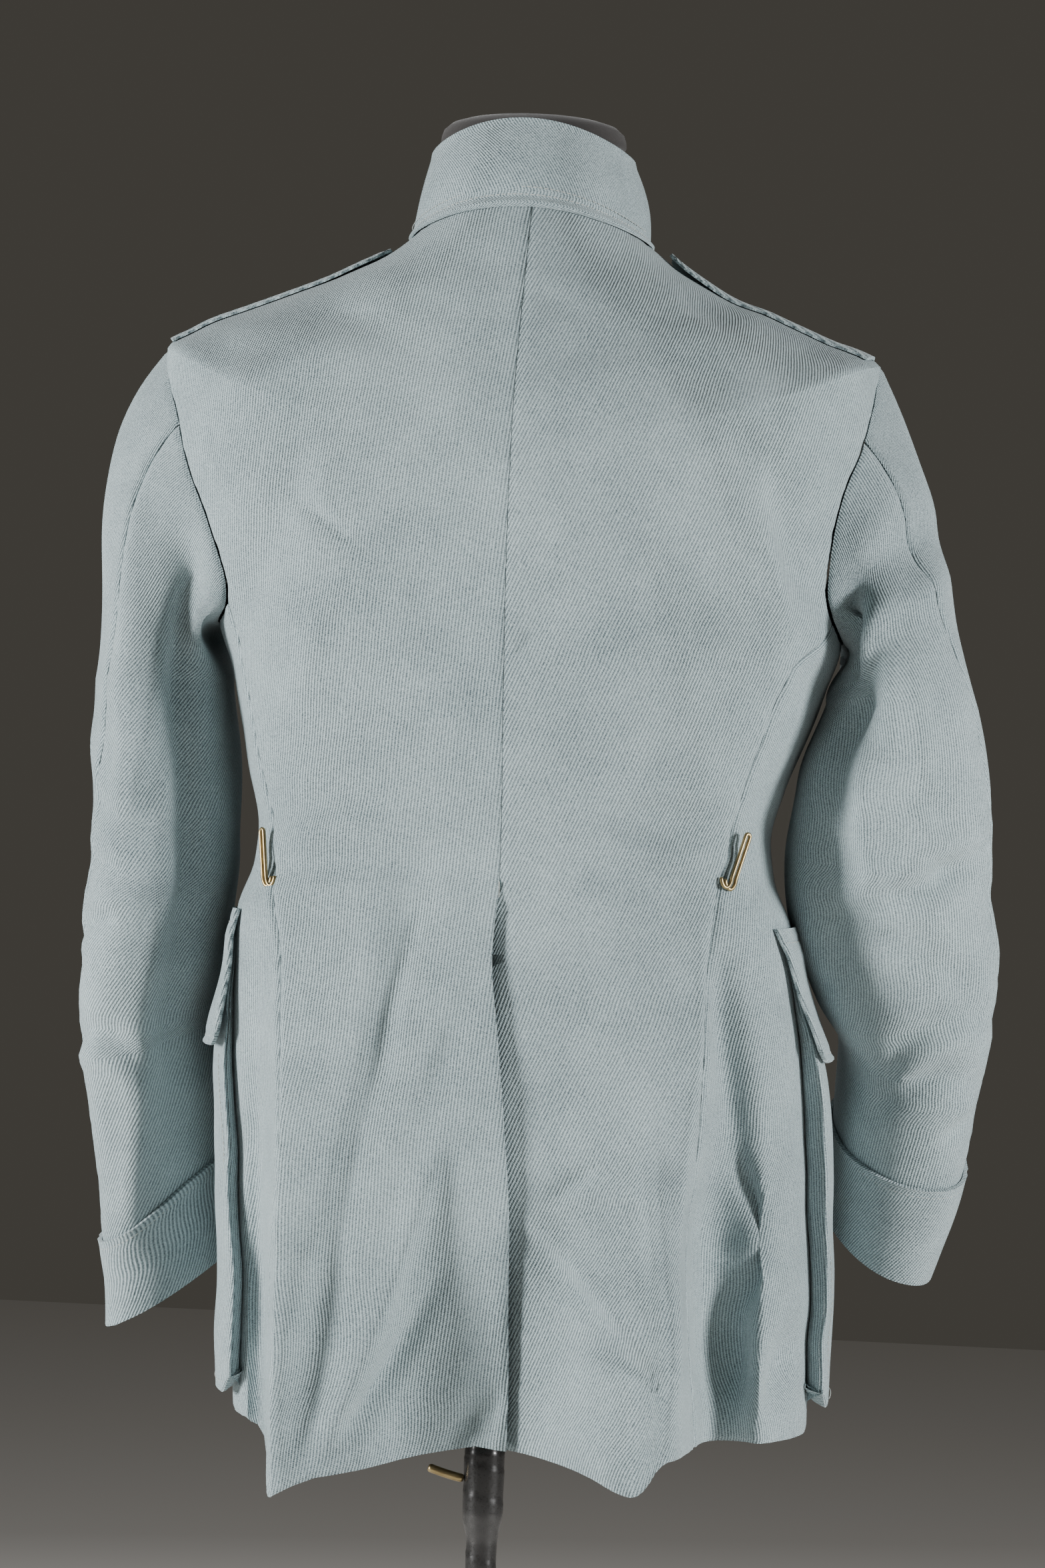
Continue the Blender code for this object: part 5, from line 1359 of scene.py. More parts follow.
def collar_pieces():
    """The fall, from its piped edge up and over the top, and the stand inside it."""
    angles = np.linspace(-180 + COLLAR_OPENING / 2, 180 - COLLAR_OPENING / 2, 150)
    outward = np.stack([np.sin(np.radians(angles)), np.cos(np.radians(angles)), 0 * angles], axis=-1)
    foot = 0 * angles + COLLAR_FOOT_LEVEL
    lift = lap_lift(angles, foot) + GAP
    first = off_body(angles, foot, SEAT + lift)
    second = collar_point(angles, np.full(len(angles), COLLAR_EDGE_TOP))
    outer, inner = [], []
    inner_first = off_body(angles, foot + 0.0016, SEAT + lift)
    inner_second = second - outward * CLOTH
    # The piped lower edge is a rope of cloth, then the stitching pulls the fall down beside it
    for part in (0.0, 0.06, 0.14, 0.26, 0.40, 0.55, 0.70, 0.85):
        height = part * COLLAR_EDGE_DEPTH
        rope = 0.0015 * math.sin(math.pi * min(1.0, height / 0.0038)) if height < 0.0038 else 0.0
        rope -= 0.0005 * math.exp(-(((height - COLLAR_STITCH) / 0.0008) ** 2))
        outer.append(first + (second - first) * part + outward * rope)
        inner.append(inner_first + (inner_second - inner_first) * part)
    swing = 0.0012 * np.sin(np.radians(angles) * 3.0 + 0.6) + 0.0007 * np.sin(np.radians(angles) * 7.0)
    for up in np.linspace(COLLAR_EDGE_TOP, 0.95, 16):
        middle = math.sin(math.pi * up)
        row = collar_point(angles, np.full(len(angles), up)) + outward * (swing * middle)[:, None]
        outer.append(row)
        inner.append(row - outward * CLOTH)
    top = collar_point(angles, np.ones(len(angles)))
    roll = np.array(COLLAR_ROLL_ROWS)
    start = np.array([0.0, -0.0018, CLOTH, 0.0])
    track = np.vstack([start, roll])
    for part in np.linspace(0, 4, 15):
        out_in, out_down, in_in, in_down = (
            smooth_table(part, np.arange(5.0), track[:, column]) for column in range(4))
        outer.append(top - outward * float(out_in) - np.array([0, 0, float(out_down)]))
        inner.append(top - outward * float(in_in) - np.array([0, 0, float(in_down)]))
    fall = cloth_wall("collar_fall_cloth", np.array(outer), np.array(inner), COLLAR_GRAIN, -1)
    last = COLLAR_ROLL_ROWS[-1]
    high = top - outward * last[2] - np.array([0, 0, last[3] + GAP])
    low = off_body(angles, 0 * angles + NECK_LEVEL, lift - 0.0006) + np.array([0, 0, 0.0014])
    outer = np.array([low + (high - low) * part for part in np.linspace(0, 1, 16)])
    stand = cloth_wall("collar_stand_cloth", outer, outer - outward * CLOTH, COLLAR_GRAIN, -1)
    return fall, stand


collar_fall, collar_stand = collar_pieces()
wear(collar_fall, "collar_fall")
wear(collar_stand, "collar_stand")

# %% [markdown]
# Shoulder straps lie along the ridge of each shoulder, sewn in at the sleeve and loose towards the collar.

# %% Shoulder straps
STRAP_HALF = 0.023
STRAP_RISE = 0.0007
STRAP_END_LIFT = {1: 0.0012, -1: 0.0028}
STRAP_FOOT, STRAP_END = 0.303, 0.3590
STRAP_STITCH = 0.0045
STRAP_GRAIN = 60.0


def strap_shape(side, levels):
    """By level: a strap's half widths, its rise off the shoulder and the reach of the body there."""
    widths = STRAP_HALF * smooth_table(levels, [STRAP_FOOT, 0.348, 0.3545, STRAP_END], [1.0, 1.0, 0.86, 0.45])
    rise = STRAP_RISE + STRAP_END_LIFT[side] * eased((levels - 0.335) / 0.02)
    reach = 0.5 * (body_value("back", levels) + body_value("front", levels))
    return widths, rise, reach


def strap_piece(side):
    """A shoulder strap, from the armhole to its rounded loose end."""
    levels = rows_between(STRAP_FOOT, STRAP_END, 0.0009)
    share = np.linspace(-1, 1, 25)
    widths, rise, reach = strap_shape(side, levels)
    turns = np.degrees(np.arcsin(np.clip(share[None, :] * (widths / reach)[:, None], -1, 1)))
    angles = side * (90.0 + turns)
    grid = np.repeat(levels[:, None], len(share), axis=1)
    from_edge = (1 - np.abs(share))[None, :] * widths[:, None]
    rope = -0.0005 * bell(from_edge - STRAP_STITCH, 0.0012)
    rope = rope - 0.0007 * bell(from_edge, 0.0009)
    rope = rope + 0.0004 * bell(from_edge - 0.002, 0.0014)
    outer = off_body(angles, grid, rise[:, None] + CLOTH + rope)
    inner = off_body(angles, grid, rise[:, None] + 0 * grid)
    return cloth_wall(f"strap_{WORDS[side]}_cloth", outer, inner, STRAP_GRAIN, -side)


for side, word in WORDS.items():
    wear(strap_piece(side), f"strap_{word}")


# %% [markdown]
# Stitches repeat by the thousand, so one Geometry Nodes tree makes them all: it cuts each seam's path into
# equal steps and sets a short thread on every step, turned along the path. Modelling them one by one would
# take hours, and a dashed picture would be flat at a grazing angle.

# %% Stitch tree
def socket_id(tree, name):
    """The identifier of a tree's input."""
    inputs = [item for item in tree.interface.items_tree if item.in_out == "INPUT"]
    return [item.identifier for item in inputs if item.name == name][0]


def stitch_tree(finish):
    """A tree that sets one thread on each equal step of a curve, in the given finish."""
    tree = bpy.data.node_groups.new("stitch_rows", "GeometryNodeTree")
    tree.interface.new_socket("Geometry", in_out="INPUT", socket_type="NodeSocketGeometry")
    for name in ("Stitch pitch", "Stitch length", "Thread radius"):
        tree.interface.new_socket(name, in_out="INPUT", socket_type="NodeSocketFloat")
    tree.interface.new_socket("Geometry", in_out="OUTPUT", socket_type="NodeSocketGeometry")
    entry = tree.nodes.new("NodeGroupInput")
    leave = tree.nodes.new("NodeGroupOutput")
    steps = tree.nodes.new("GeometryNodeResampleCurve")
    steps.mode = "LENGTH"
    thread = tree.nodes.new("GeometryNodeMeshUVSphere")
    set_inputs(thread, ("Segments", 6), ("Rings", 4), ("Radius", 1.0))
    size = tree.nodes.new("ShaderNodeCombineXYZ")
    half = tree.nodes.new("ShaderNodeMath")
    half.operation = "MULTIPLY"
    half.inputs[1].default_value = 0.5
    way = tree.nodes.new("GeometryNodeInputTangent")
    turn = tree.nodes.new("FunctionNodeAlignRotationToVector")
    turn.axis = "Z"
    place = tree.nodes.new("GeometryNodeInstanceOnPoints")
    real = tree.nodes.new("GeometryNodeRealizeInstances")
    paint = tree.nodes.new("GeometryNodeSetMaterial")
    paint.inputs["Material"].default_value = finish
    link = tree.links.new
    link(entry.outputs["Geometry"], steps.inputs["Curve"])
    link(entry.outputs["Stitch pitch"], steps.inputs["Length"])
    link(entry.outputs["Stitch length"], half.inputs[0])
    link(entry.outputs["Thread radius"], size.inputs[0])
    link(entry.outputs["Thread radius"], size.inputs[1])
    link(half.outputs[0], size.inputs[2])
    link(way.outputs[0], turn.inputs["Vector"])
    link(steps.outputs[0], place.inputs["Points"])
    link(thread.outputs[0], place.inputs["Instance"])
    link(turn.outputs[0], place.inputs["Rotation"])
    link(size.outputs[0], place.inputs["Scale"])
    link(place.outputs[0], real.inputs[0])
    link(real.outputs[0], paint.inputs["Geometry"])
    link(paint.outputs[0], leave.inputs["Geometry"])
    return tree


def thread_material():
    """Matt cotton thread, a little lighter than the cloth."""
    finish, tree, shader, solid = new_finish("seam_thread")
    colour = colour_mix(tree, noise(tree, solid, 70.0, 3.0), (0.30, 0.33, 0.32), (0.58, 0.60, 0.56))
    tree.links.new(colour, shader.inputs["Base Color"])
    set_inputs(shader, ("Roughness", 0.8), ("Sheen Weight", 0.2))
    return finish


def paths_object(name, paths):
    """A curve object with one straight-sided spline for each path."""
    curve = bpy.data.curves.new(name, "CURVE")
    curve.dimensions = "3D"
    for path in paths:
        spline = curve.splines.new("POLY")
        spline.points.add(len(path) - 1)
        spline.points.foreach_set("co", np.concatenate([path, np.ones((len(path), 1))], axis=1).ravel())
    thing = bpy.data.objects.new(name, curve)
    bpy.context.scene.collection.objects.link(thing)
    return thing


def stitched(name, tree, paths, pitch, length, radius):
    """The stitches along paths as one plain mesh."""
    rail = paths_object(name + "_rail", paths)
    modifier = rail.modifiers.new("stitches", "NODES")
    modifier.node_group = tree
    for label, value in (("Stitch pitch", pitch), ("Stitch length", length), ("Thread radius", radius)):
        modifier[socket_id(tree, label)] = value
    seen = rail.evaluated_get(bpy.context.evaluated_depsgraph_get())
    mesh = bpy.data.meshes.new_from_object(seen)
    mesh.shade_smooth()
    made = bpy.data.objects.new(name, mesh)
    bpy.context.scene.collection.objects.link(made)
    bpy.data.objects.remove(rail, do_unlink=True)
    print(f"{name}: {len(mesh.polygons)} faces")
    return made


# %% Paths of the stitching
def collar_paths():
    """Two rows round the collar's fall: beside its piped edge and a little above it."""
    angles = np.linspace(-176, 176, 180)
    outward = np.stack([np.sin(np.radians(angles)), np.cos(np.radians(angles)), 0 * angles], axis=-1)
    foot = 0 * angles + COLLAR_FOOT_LEVEL
    first = off_body(angles, foot, SEAT + lap_lift(angles, foot) + GAP)
    second = collar_point(angles, np.full(len(angles), COLLAR_EDGE_TOP))
    low = first + (second - first) * (COLLAR_STITCH / COLLAR_EDGE_DEPTH) - outward * 0.0003
    high = collar_point(angles, np.full(len(angles), 0.175)) + outward * 0.0002
    return [low, high]


def flap_path(inset, from_top):
    """Round a flap, inset from its edge, starting and ending at its top seam."""
    left, right = -FLAP_OVERHANG + inset, POCKET_WIDTH + FLAP_OVERHANG - inset
    low = FLAP_FOOT + inset
    down = rows_between(FLAP_TOP - from_top, low + 0.010, 0.004)
    across = rows_between(left + 0.009, right - 0.009, 0.004)
    places = np.concatenate([0 * down + left, across, 0 * down + right])
    heights = np.concatenate([down, 0 * across + low, down[::-1]])
    return places, heights


def off_flap(side, places, heights, out):
    """Points moved out of a flap's outer face."""
    inside = flap_inside(side, places, heights, flap_low(heights))
    return off_body(panel_angle(heights, side, places), heights, inside + CLOTH + out)


def strap_path(side):
    """Up one side of a strap and down the other."""
    levels = rows_between(STRAP_FOOT + 0.003, STRAP_END - 0.0015, 0.001)
    widths, rise, reach = strap_shape(side, levels)
    turns = np.degrees(np.arcsin((widths - STRAP_STITCH) / reach))
    up = off_body(side * (90.0 - turns), levels, rise + CLOTH - 0.0005)
    down = off_body(side * (90.0 + turns), levels, rise + CLOTH - 0.0005)
    return np.concatenate([up, down[::-1]])


def flap_paths(side):
    """Round a flap, and along its top."""
    places, heights = flap_path(FLAP_STITCH, 0.010)
    across = rows_between(-FLAP_OVERHANG + 0.004, POCKET_WIDTH + FLAP_OVERHANG - 0.004, 0.004)
    return [off_flap(side, places, heights, -0.0004),
            off_flap(side, across, 0 * across + FLAP_TOP - FLAP_TOP_STITCH, -0.0003)]


def cuff_ring(side, share, out):
    """Round a cuff, at a share of its depth."""
    turns = np.linspace(FORE_SEAM - 360, FORE_SEAM, 120)
    start = cuff_start(side)
    return off_sleeve(side, turns, 0 * turns + start + (1 - start) * share, 0 * turns + CUFF_FACE + out)


def cuff_seam_path(side):
    """Down a cuff, beside its seam."""
    along = np.linspace(cuff_start(side) + 0.01, 0.995, 20)
    return off_sleeve(side, hind_turn(side, along) - 4.2, along, 0 * along + CUFF_FACE + 0.0003)


def pocket_paths(side):
    """Down a pocket's rear edge, and along its foot."""
    down = rows_between(POCKET_TOP - 0.070, POCKET_FOOT + 0.020, 0.005)
    across = rows_between(0.012, POCKET_WIDTH - 0.012, 0.005)
    foot = 0 * across + POCKET_FOOT + 0.007
    return [off_body(panel_angle(down, side, 0 * down + 0.006), down, pocket_lift(down, side) + 0.0002),
            off_body(panel_angle(foot, side, across), foot, pocket_lift(foot, side) + 0.0002)]


CUFF_FACE = 2 * GAP + CLOTH
seam_paths = collar_paths()
edge_paths = []
for side in WORDS:
    seam_paths += [strap_path(side), *flap_paths(side), cuff_ring(side, 0.075, -0.0002), cuff_seam_path(side)]
    seam_paths += pocket_paths(side)
    edge_paths.append(cuff_ring(side, 0.012, 0.0))
print("stitch paths:", len(seam_paths))

# %% Stitching
stitch_nodes = stitch_tree(thread_material())
tack_level = VENT_TOP + 0.001
tack_middle = off_body(float(angle_at(CENTRE_SEAM_X, tack_level)), tack_level, 0.0006)
bartack = np.array([tack_middle + np.array([0.0, 0.0, rise]) for rise in np.linspace(-0.004, 0.004, 9)])
# Name, paths, pitch, length of a stitch, thread radius and the slot it takes
for name, paths, pitch, length, radius, slot_name in (
    ("top_stitching", seam_paths, 0.0034, 0.0027, 0.00030, "collar_fall"),
    ("edge_threads", edge_paths, 0.0026, 0.0026, 0.00034, "cuff_left"),
    ("vent_bartack", [bartack], 0.0010, 0.0012, 0.00040, "back_left"),
):
    threads = stitched(name, stitch_nodes, paths, pitch, length, radius)
    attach(threads, "root")

# %% [markdown]
# The belt hooks, buttons and clamp lever are old brass: dull gold with brown in the hollows and brighter
# places where hands touch it. The pole is wound in shiny black tape, and the iron base is painted black.

# %% Metal, tape and jersey
def patina_material(name, dark, light, metallic, rough_low, rough_high, scale, coat=0.0):
    """A worn finish, mottled between a dark and a light colour and between two roughnesses."""
    finish, tree, shader, solid = new_finish(name)
    cloud = noise(tree, solid, scale, 5.0)
    fine = noise(tree, solid, scale * 9, 3.0)
    blend = weighted(tree, (cloud, 0.75), (fine, 0.25))
    tree.links.new(colour_mix(tree, blend, dark, light), shader.inputs["Base Color"])
    rough = maths(tree, "MULTIPLY_ADD", fine, rough_high - rough_low, rough_low)
    tree.links.new(rough, shader.inputs["Roughness"])
    bump_shader(tree, shader, blend, 0.18, 0.0003)
    set_inputs(shader, ("Metallic", metallic), ("Coat Weight", coat))
    return finish


old_brass = patina_material("old_brass", (0.15, 0.095, 0.036), (0.56, 0.45, 0.24), 1.0, 0.26, 0.50, 160.0)
black_tape = patina_material("black_tape", (0.010, 0.010, 0.010), (0.030, 0.029, 0.028),
                             0.0, 0.18, 0.40, 60.0, 0.3)
black_paint = patina_material("black_paint", (0.013, 0.013, 0.014), (0.040, 0.040, 0.042),
                              0.0, 0.35, 0.55, 35.0, 0.2)
KNIT_RIB = 0.0011
KNIT_ROW = 0.0008
JERSEY_DARK = (0.010, 0.009, 0.009)
JERSEY_LIGHT = (0.036, 0.032, 0.030)


def jersey_material():
    """Black cotton jersey drawn tight over the form: fine ribs up the body, fluff and dust."""
    finish, tree, shader, solid = new_finish("black_jersey")
    across_grain, along_grain = grain_parts(tree)
    ribs = maths(tree, "SINE", maths(tree, "MULTIPLY", across_grain, 2 * math.pi / KNIT_RIB))
    rows = maths(tree, "SINE", maths(tree, "MULTIPLY", along_grain, 2 * math.pi / KNIT_ROW))
    knit = maths(tree, "MULTIPLY_ADD", maths(tree, "MULTIPLY", ribs, rows), 0.5, 0.5)
    fluff = noise(tree, solid, 420.0, 4.0)
    height = weighted(tree, (knit, 0.5), (fluff, 0.5))
    bump_shader(tree, shader, height, 0.4, 0.0004)
    tree.links.new(colour_mix(tree, height, JERSEY_DARK, JERSEY_LIGHT), shader.inputs["Base Color"])
    set_inputs(shader, ("Roughness", 0.9), ("Sheen Weight", 0.25))
    return finish


jersey = jersey_material()
print("finishes:", old_brass.name, black_tape.name, black_paint.name, jersey.name)

# %% [markdown]
# A belt hook is one brass wire doubled back on itself: it leaves the side seam, turns under and rises again,
# so a belt rests in it. The wire is swept along one path, down one strand, round the tip and up the other.

# %% Belt hooks
def ring_quads(rows, columns):
    """Quads between neighbouring rings of points, with the row and column of each one's first corner."""
    row, column = np.meshgrid(np.arange(rows - 1), np.arange(columns), indexing="ij")
    row, column = row.ravel(), column.ravel()
    after = (column + 1) % columns
    faces = np.stack([row * columns + column, row * columns + after,
                      (row + 1) * columns + after, (row + 1) * columns + column], axis=1)
    return faces, row, column


def end_fans(rows, columns):
    """Quads that close the first and last rings on two middle points, which come after the rings."""
    pairs = np.arange(0, columns, 2)
    after = (pairs + 2) % columns
    last, middle = (rows - 1) * columns, rows * columns
    return np.concatenate([
        np.stack([0 * pairs + middle, after, pairs + 1, pairs], axis=1),
        np.stack([0 * pairs + middle + 1, last + pairs, last + pairs + 1, last + after], axis=1)])


def ring_uvs(row, column, row_size, column_size):
    """UVs of ring quads whose rows and columns are all of one size."""
    return np.stack([np.stack([column, column + 1, column + 1, column], axis=1) * column_size,
                     np.stack([row, row, row + 1, row + 1], axis=1) * row_size], axis=-1)


def face_outwards(faces, uvs, vertices, rings):
    """The quads, turned over where one of the middle ring's faces inwards."""
    rows, columns = rings.shape[:2]
    probe = faces[rows // 2 * columns]
    normal = np.cross(vertices[probe[1]] - vertices[probe[0]], vertices[probe[3]] - vertices[probe[0]])
    if np.dot(normal, vertices[probe[0]] - rings[rows // 2].mean(axis=0)) < 0:
        return faces[:, ::-1], uvs[:, ::-1]
    return faces, uvs


def swept(name, path, radius, finish, sides=12):
    """A round wire along a path, with rounded ends and a UV map round and along it."""
    path = np.asarray(path, float)
    way = unit(np.gradient(path, axis=0))
    frame_x = unit(np.cross(way[0], [0.13, 0.97, 0.21]))
    rings = []
    for here, ahead in zip(path, way):
        frame_x = unit(frame_x - ahead * np.dot(frame_x, ahead))
        frame_y = np.cross(ahead, frame_x)
        turn = np.linspace(0, 2 * math.pi, sides, endpoint=False)[:, None]
        rings.append(here + radius * (np.cos(turn) * frame_x + np.sin(turn) * frame_y))
    start, end = path[0] - way[0] * radius * 0.5, path[-1] + way[-1] * radius * 0.5
    rings = np.array([start + (rings[0] - path[0]) * 0.02, start + (rings[0] - path[0]) * 0.7, *rings,
                      end + (rings[-1] - path[-1]) * 0.7, end + (rings[-1] - path[-1]) * 0.02])
    rows, columns = rings.shape[:2]
    faces, row, column = ring_quads(rows, columns)
    fans = end_fans(rows, columns)
    vertices = np.vstack([rings.reshape(-1, 3), rings[0].mean(axis=0), rings[-1].mean(axis=0)])
    uvs = np.concatenate([ring_uvs(row, column, radius, radius * 0.5), np.zeros((len(fans), 4, 2))])
    faces, uvs = face_outwards(np.concatenate([faces, fans]), uvs, vertices, rings)
    return mesh_object(name, vertices, faces, uvs, finish, 60.0)


HOOK_ROWS = {
    1: {"root": -0.014, "bend": 0.0055, "stem": 0.0255, "lean": 0.0025},
    -1: {"root": -0.005, "bend": 0.0060, "stem": 0.0245, "lean": 0.0085},
}
HOOK_WIRE = 0.00115
HOOK_HALF = 0.0016
HOOK_DROP = 0.0055


def hook_piece(side):
    """A belt hook: two strands side by side, joined by a round tip."""
    sizes = HOOK_ROWS[side]
    root = float(seam_angle(sizes["root"], side))
    normal = body_normal(np.array(root), np.array(sizes["root"]))
    anchor = body_point(np.array(root), np.array(sizes["root"]))
    across = unit(np.cross(np.array([0.0, 0.0, 1.0]), normal)) * side
    across = across * np.sign(across[0] * side)
    up = np.array([0.0, 0.0, 1.0])
    path = []
    for part in np.linspace(0, 1, 16):
        turn = math.pi * part
        path.append((sizes["bend"] / 2 * (1 - math.cos(turn)), -HOOK_DROP * math.sin(turn),
                     0.0016 + 0.0022 * part))
    for part in np.linspace(0, 1, 9)[1:]:
        path.append((sizes["bend"] + sizes["lean"] * part, sizes["stem"] * part, 0.0038 + 0.001 * part))
    lane = unit(np.array([sizes["lean"], sizes["stem"]]))
    step = np.array([lane[1], -lane[0]]) * HOOK_HALF

    def place(right, rise, out):
        return anchor + across * right + up * rise + normal * out

    first = [place(right - step[0], rise - step[1], out) for right, rise, out in path]
    second = [place(right + step[0], rise + step[1], out) for right, rise, out in path]
    end = path[-1]
    tip = []
    for turn in np.linspace(0, math.pi, 9)[1:-1]:
        aside = -math.cos(turn) * HOOK_HALF
        ahead = math.sin(turn) * HOOK_HALF
        tip.append(place(end[0] + lane[1] * aside + lane[0] * ahead,
                         end[1] - lane[0] * aside + lane[1] * ahead, end[2]))
    return swept(f"belt_hook_{WORDS[side]}", first + tip + second[::-1], HOOK_WIRE, old_brass)


def dress_node(piece, node_name):
    """Puts a finished piece that isn't cloth in its node's place."""
    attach(piece, "root")
    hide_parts(node_name)


for side, word in WORDS.items():
    dress_node(hook_piece(side), f"hook_{word}")
print("belt hooks set")

# %% [markdown]
# Turned pieces, such as the buttons, neck cap and base, are drawn as a profile and spun. The button's profile
# has a shallow dome and a rolled rim, which catch the light as a stamped brass button does.

# %% Turned pieces and buttons
def turned(name, profile, finish, centre=(0.0, 0.0), sides=96, sharp=50.0):
    """A closed turned solid from (radius, z) pairs, from its foot's middle to its top's middle."""
    profile = np.array(profile, float)
    profile[0, 0] = profile[-1, 0] = 1e-5
    turn = np.linspace(0, 2 * math.pi, sides, endpoint=False)
    rings = np.stack([centre[0] + profile[:, :1] * np.cos(turn), centre[1] + profile[:, :1] * np.sin(turn),
                      np.repeat(profile[:, 1:], sides, axis=1)], axis=-1)
    faces, row, column = ring_quads(len(profile), sides)
    fans = end_fans(len(profile), sides)
    vertices = np.vstack([rings.reshape(-1, 3), rings[0].mean(axis=0), rings[-1].mean(axis=0)])
    run = np.concatenate([[0], np.cumsum(np.linalg.norm(np.diff(profile, axis=0), axis=1))])
    uvs = ring_uvs(row, column, 0.0, 2 * math.pi * profile[:, 0].max() / sides)
    uvs[..., 1] = np.stack([run[row], run[row], run[row + 1], run[row + 1]], axis=1)
    uvs = np.concatenate([uvs, np.zeros((len(fans), 4, 2))])
    return mesh_object(name, vertices, np.concatenate([faces, fans]), uvs, finish, sharp)


BUTTON_RADIUS = 0.0105
BUTTON_LEVELS = (0.262, 0.190, 0.118, 0.046, -0.026, -0.098)
# Share of the radius, and height
button_profile = [(0.0, 0.0), (0.62, 0.0), (0.90, 0.0013), (0.985, 0.0021), (1.0, 0.0025),
                  (0.985, 0.0030), (0.93, 0.0032), (0.88, 0.0031), (0.84, 0.0034), (0.72, 0.0043),
                  (0.55, 0.0050), (0.32, 0.0056), (0.14, 0.0058), (0.0, 0.0058)]
for number, level in enumerate(BUTTON_LEVELS, 1):
    angle, height = np.array(180.0), np.array(level)
    normal = body_normal(angle, height)
    seat = off_body(angle, height, CLOTH + 4 * GAP)
    profile = [(share * BUTTON_RADIUS, rise) for share, rise in button_profile]
    button = turned(f"button_{number}_brass", profile, old_brass, sides=40)
    lean = Vector((0, 0, 1)).rotation_difference(Vector(normal)).to_matrix().to_4x4()
    button.data.transform(Matrix.Translation(Vector(seat)) @ lean)
    dress_node(button, f"button_{number}")
print("buttons:", len(BUTTON_LEVELS))

# %% [markdown]
# The form shows at the neck, under the skirt and in the open front of the collar. It is the worn surface
# moved in, so the coat hangs on its shoulders. Its flat foot rests on an iron plate.

# %% Form torso
FORM_HALF = 0.166
FORM_SHOULDER_SOFT = 0.018
FORM_NECK_HALF = 0.0520
NECK_MIDDLE_Y = 0.008
FORM_NECK_TOP = 0.4245
FORM_FOOT_LEVEL = -0.190
CAP_TOP = 0.4425
# Level, and half the width of the neck there
FORM_NECK = ((0.386, 0.0535), (0.395, 0.0525), (0.405, FORM_NECK_HALF), (FORM_NECK_TOP, FORM_NECK_HALF))
# Level, and how far in from the worn surface the form lies there
FORM_INSETS = (
    (-0.190, 0.024), (-0.150, 0.020), (-0.100, 0.014), (-0.050, 0.009), (0.000, 0.008), (0.050, 0.008),
    (0.100, 0.008), (0.160, 0.008), (0.220, 0.007), (0.265, 0.005), (0.295, 0.004), (0.310, 0.0040),
    (0.325, 0.0045), (0.340, 0.0045), (0.352, 0.0045), (0.362, 0.0050), (0.368, 0.008),
)


def form_torso_piece():
    """The form's surface, from the flat foot under the skirt to the top of the neck."""
    turns = np.linspace(0, 360, 120, endpoint=False)
    places, insets = zip(*FORM_INSETS)
    rings = []
    trunk, shoulders = rows_between(FORM_FOOT_LEVEL, 0.300, 0.012), rows_between(0.304, 0.368, 0.004)
    for level in np.concatenate([trunk, shoulders]):
        ring_level = np.full(len(turns), level)
        chest = 0.0016 * (np.cos(np.radians(turns)) < -0.1)
        inwards = float(smooth_table(level, places, insets)) + 0.0008 + chest
        ring = body_point(turns, ring_level) - body_normal(turns, ring_level) * inwards[:, None]
        straight = FORM_HALF - FORM_SHOULDER_SOFT
        over = np.abs(ring[:, 0]) - straight
        soft = straight + FORM_SHOULDER_SOFT * np.tanh(np.maximum(over, 0) / FORM_SHOULDER_SOFT)
        ring[:, 0] = np.where(over > 0, np.sign(ring[:, 0]) * soft, ring[:, 0])
        rings.append(ring)
    radians = np.radians(turns)
    for level, half in FORM_NECK:
        tilt = 0.014 * np.cos(radians) * (FORM_NECK_TOP - level) / 0.04
        across, aft = half * np.sin(radians) + COLLAR_SHIFT_X, NECK_MIDDLE_Y + half * np.cos(radians)
        rings.append(np.stack([across, aft, WAIST_Z + level + tilt], axis=-1))
    rings[0][:, 2] = WAIST_Z + FORM_FOOT_LEVEL
    rings = [rings[0] * np.array([0.001, 0.001, 1.0]), rings[0] * np.array([0.985, 0.985, 1.0]), *rings,
             rings[-1] * 0.001 + rings[-1].mean(axis=0) * 0.999]
    rings = np.array(rings)
    faces, row, column = ring_quads(*rings.shape[:2])
    wide = np.concatenate([rings, rings[:, :1]], axis=1)
    uv = np.stack([arc_lengths(wide), wide[..., 2]], axis=-1)
    corners = ((0, 0), (1, 0), (1, 1), (0, 1))
    uvs = np.stack([uv[row + below, column + right] for below, right in corners], axis=1)
    vertices = rings.reshape(-1, 3)
    faces, uvs = face_outwards(faces[:, [0, 3, 2, 1]], uvs, vertices, rings)
    return mesh_object("form_torso_jersey", vertices, faces, uvs, jersey, 60.0)


form_torso = form_torso_piece()
dress_node(form_torso, "form_torso")
cap_low, cap_high = WAIST_Z + FORM_NECK_TOP + GAP, WAIST_Z + CAP_TOP
cap_profile = [(0.0, cap_low), (0.052, cap_low), (0.0545, cap_low + 0.001), (0.0555, cap_low + 0.003),
               (0.0552, cap_low + 0.006), (0.0540, cap_low + 0.0095), (0.0500, cap_low + 0.0130),
               (0.0430, cap_low + 0.0152), (0.0300, cap_high - 0.0012), (0.0150, cap_high - 0.0002),
               (0.0, cap_high)]
neck_cap = turned("neck_cap_jersey", cap_profile, jersey, (COLLAR_SHIFT_X, NECK_MIDDLE_Y), 96, 80.0)
dress_node(neck_cap, "form_neck_cap")
print("form:", len(form_torso.data.polygons), "faces")

# %% Pole, clamp, lever and base
CLAMP_LEVEL = -0.375
BASE_RADIUS = 0.190
BASE_RISE = 0.034
PLATE_THICKNESS = 0.018
TAPE_PITCH = 0.019


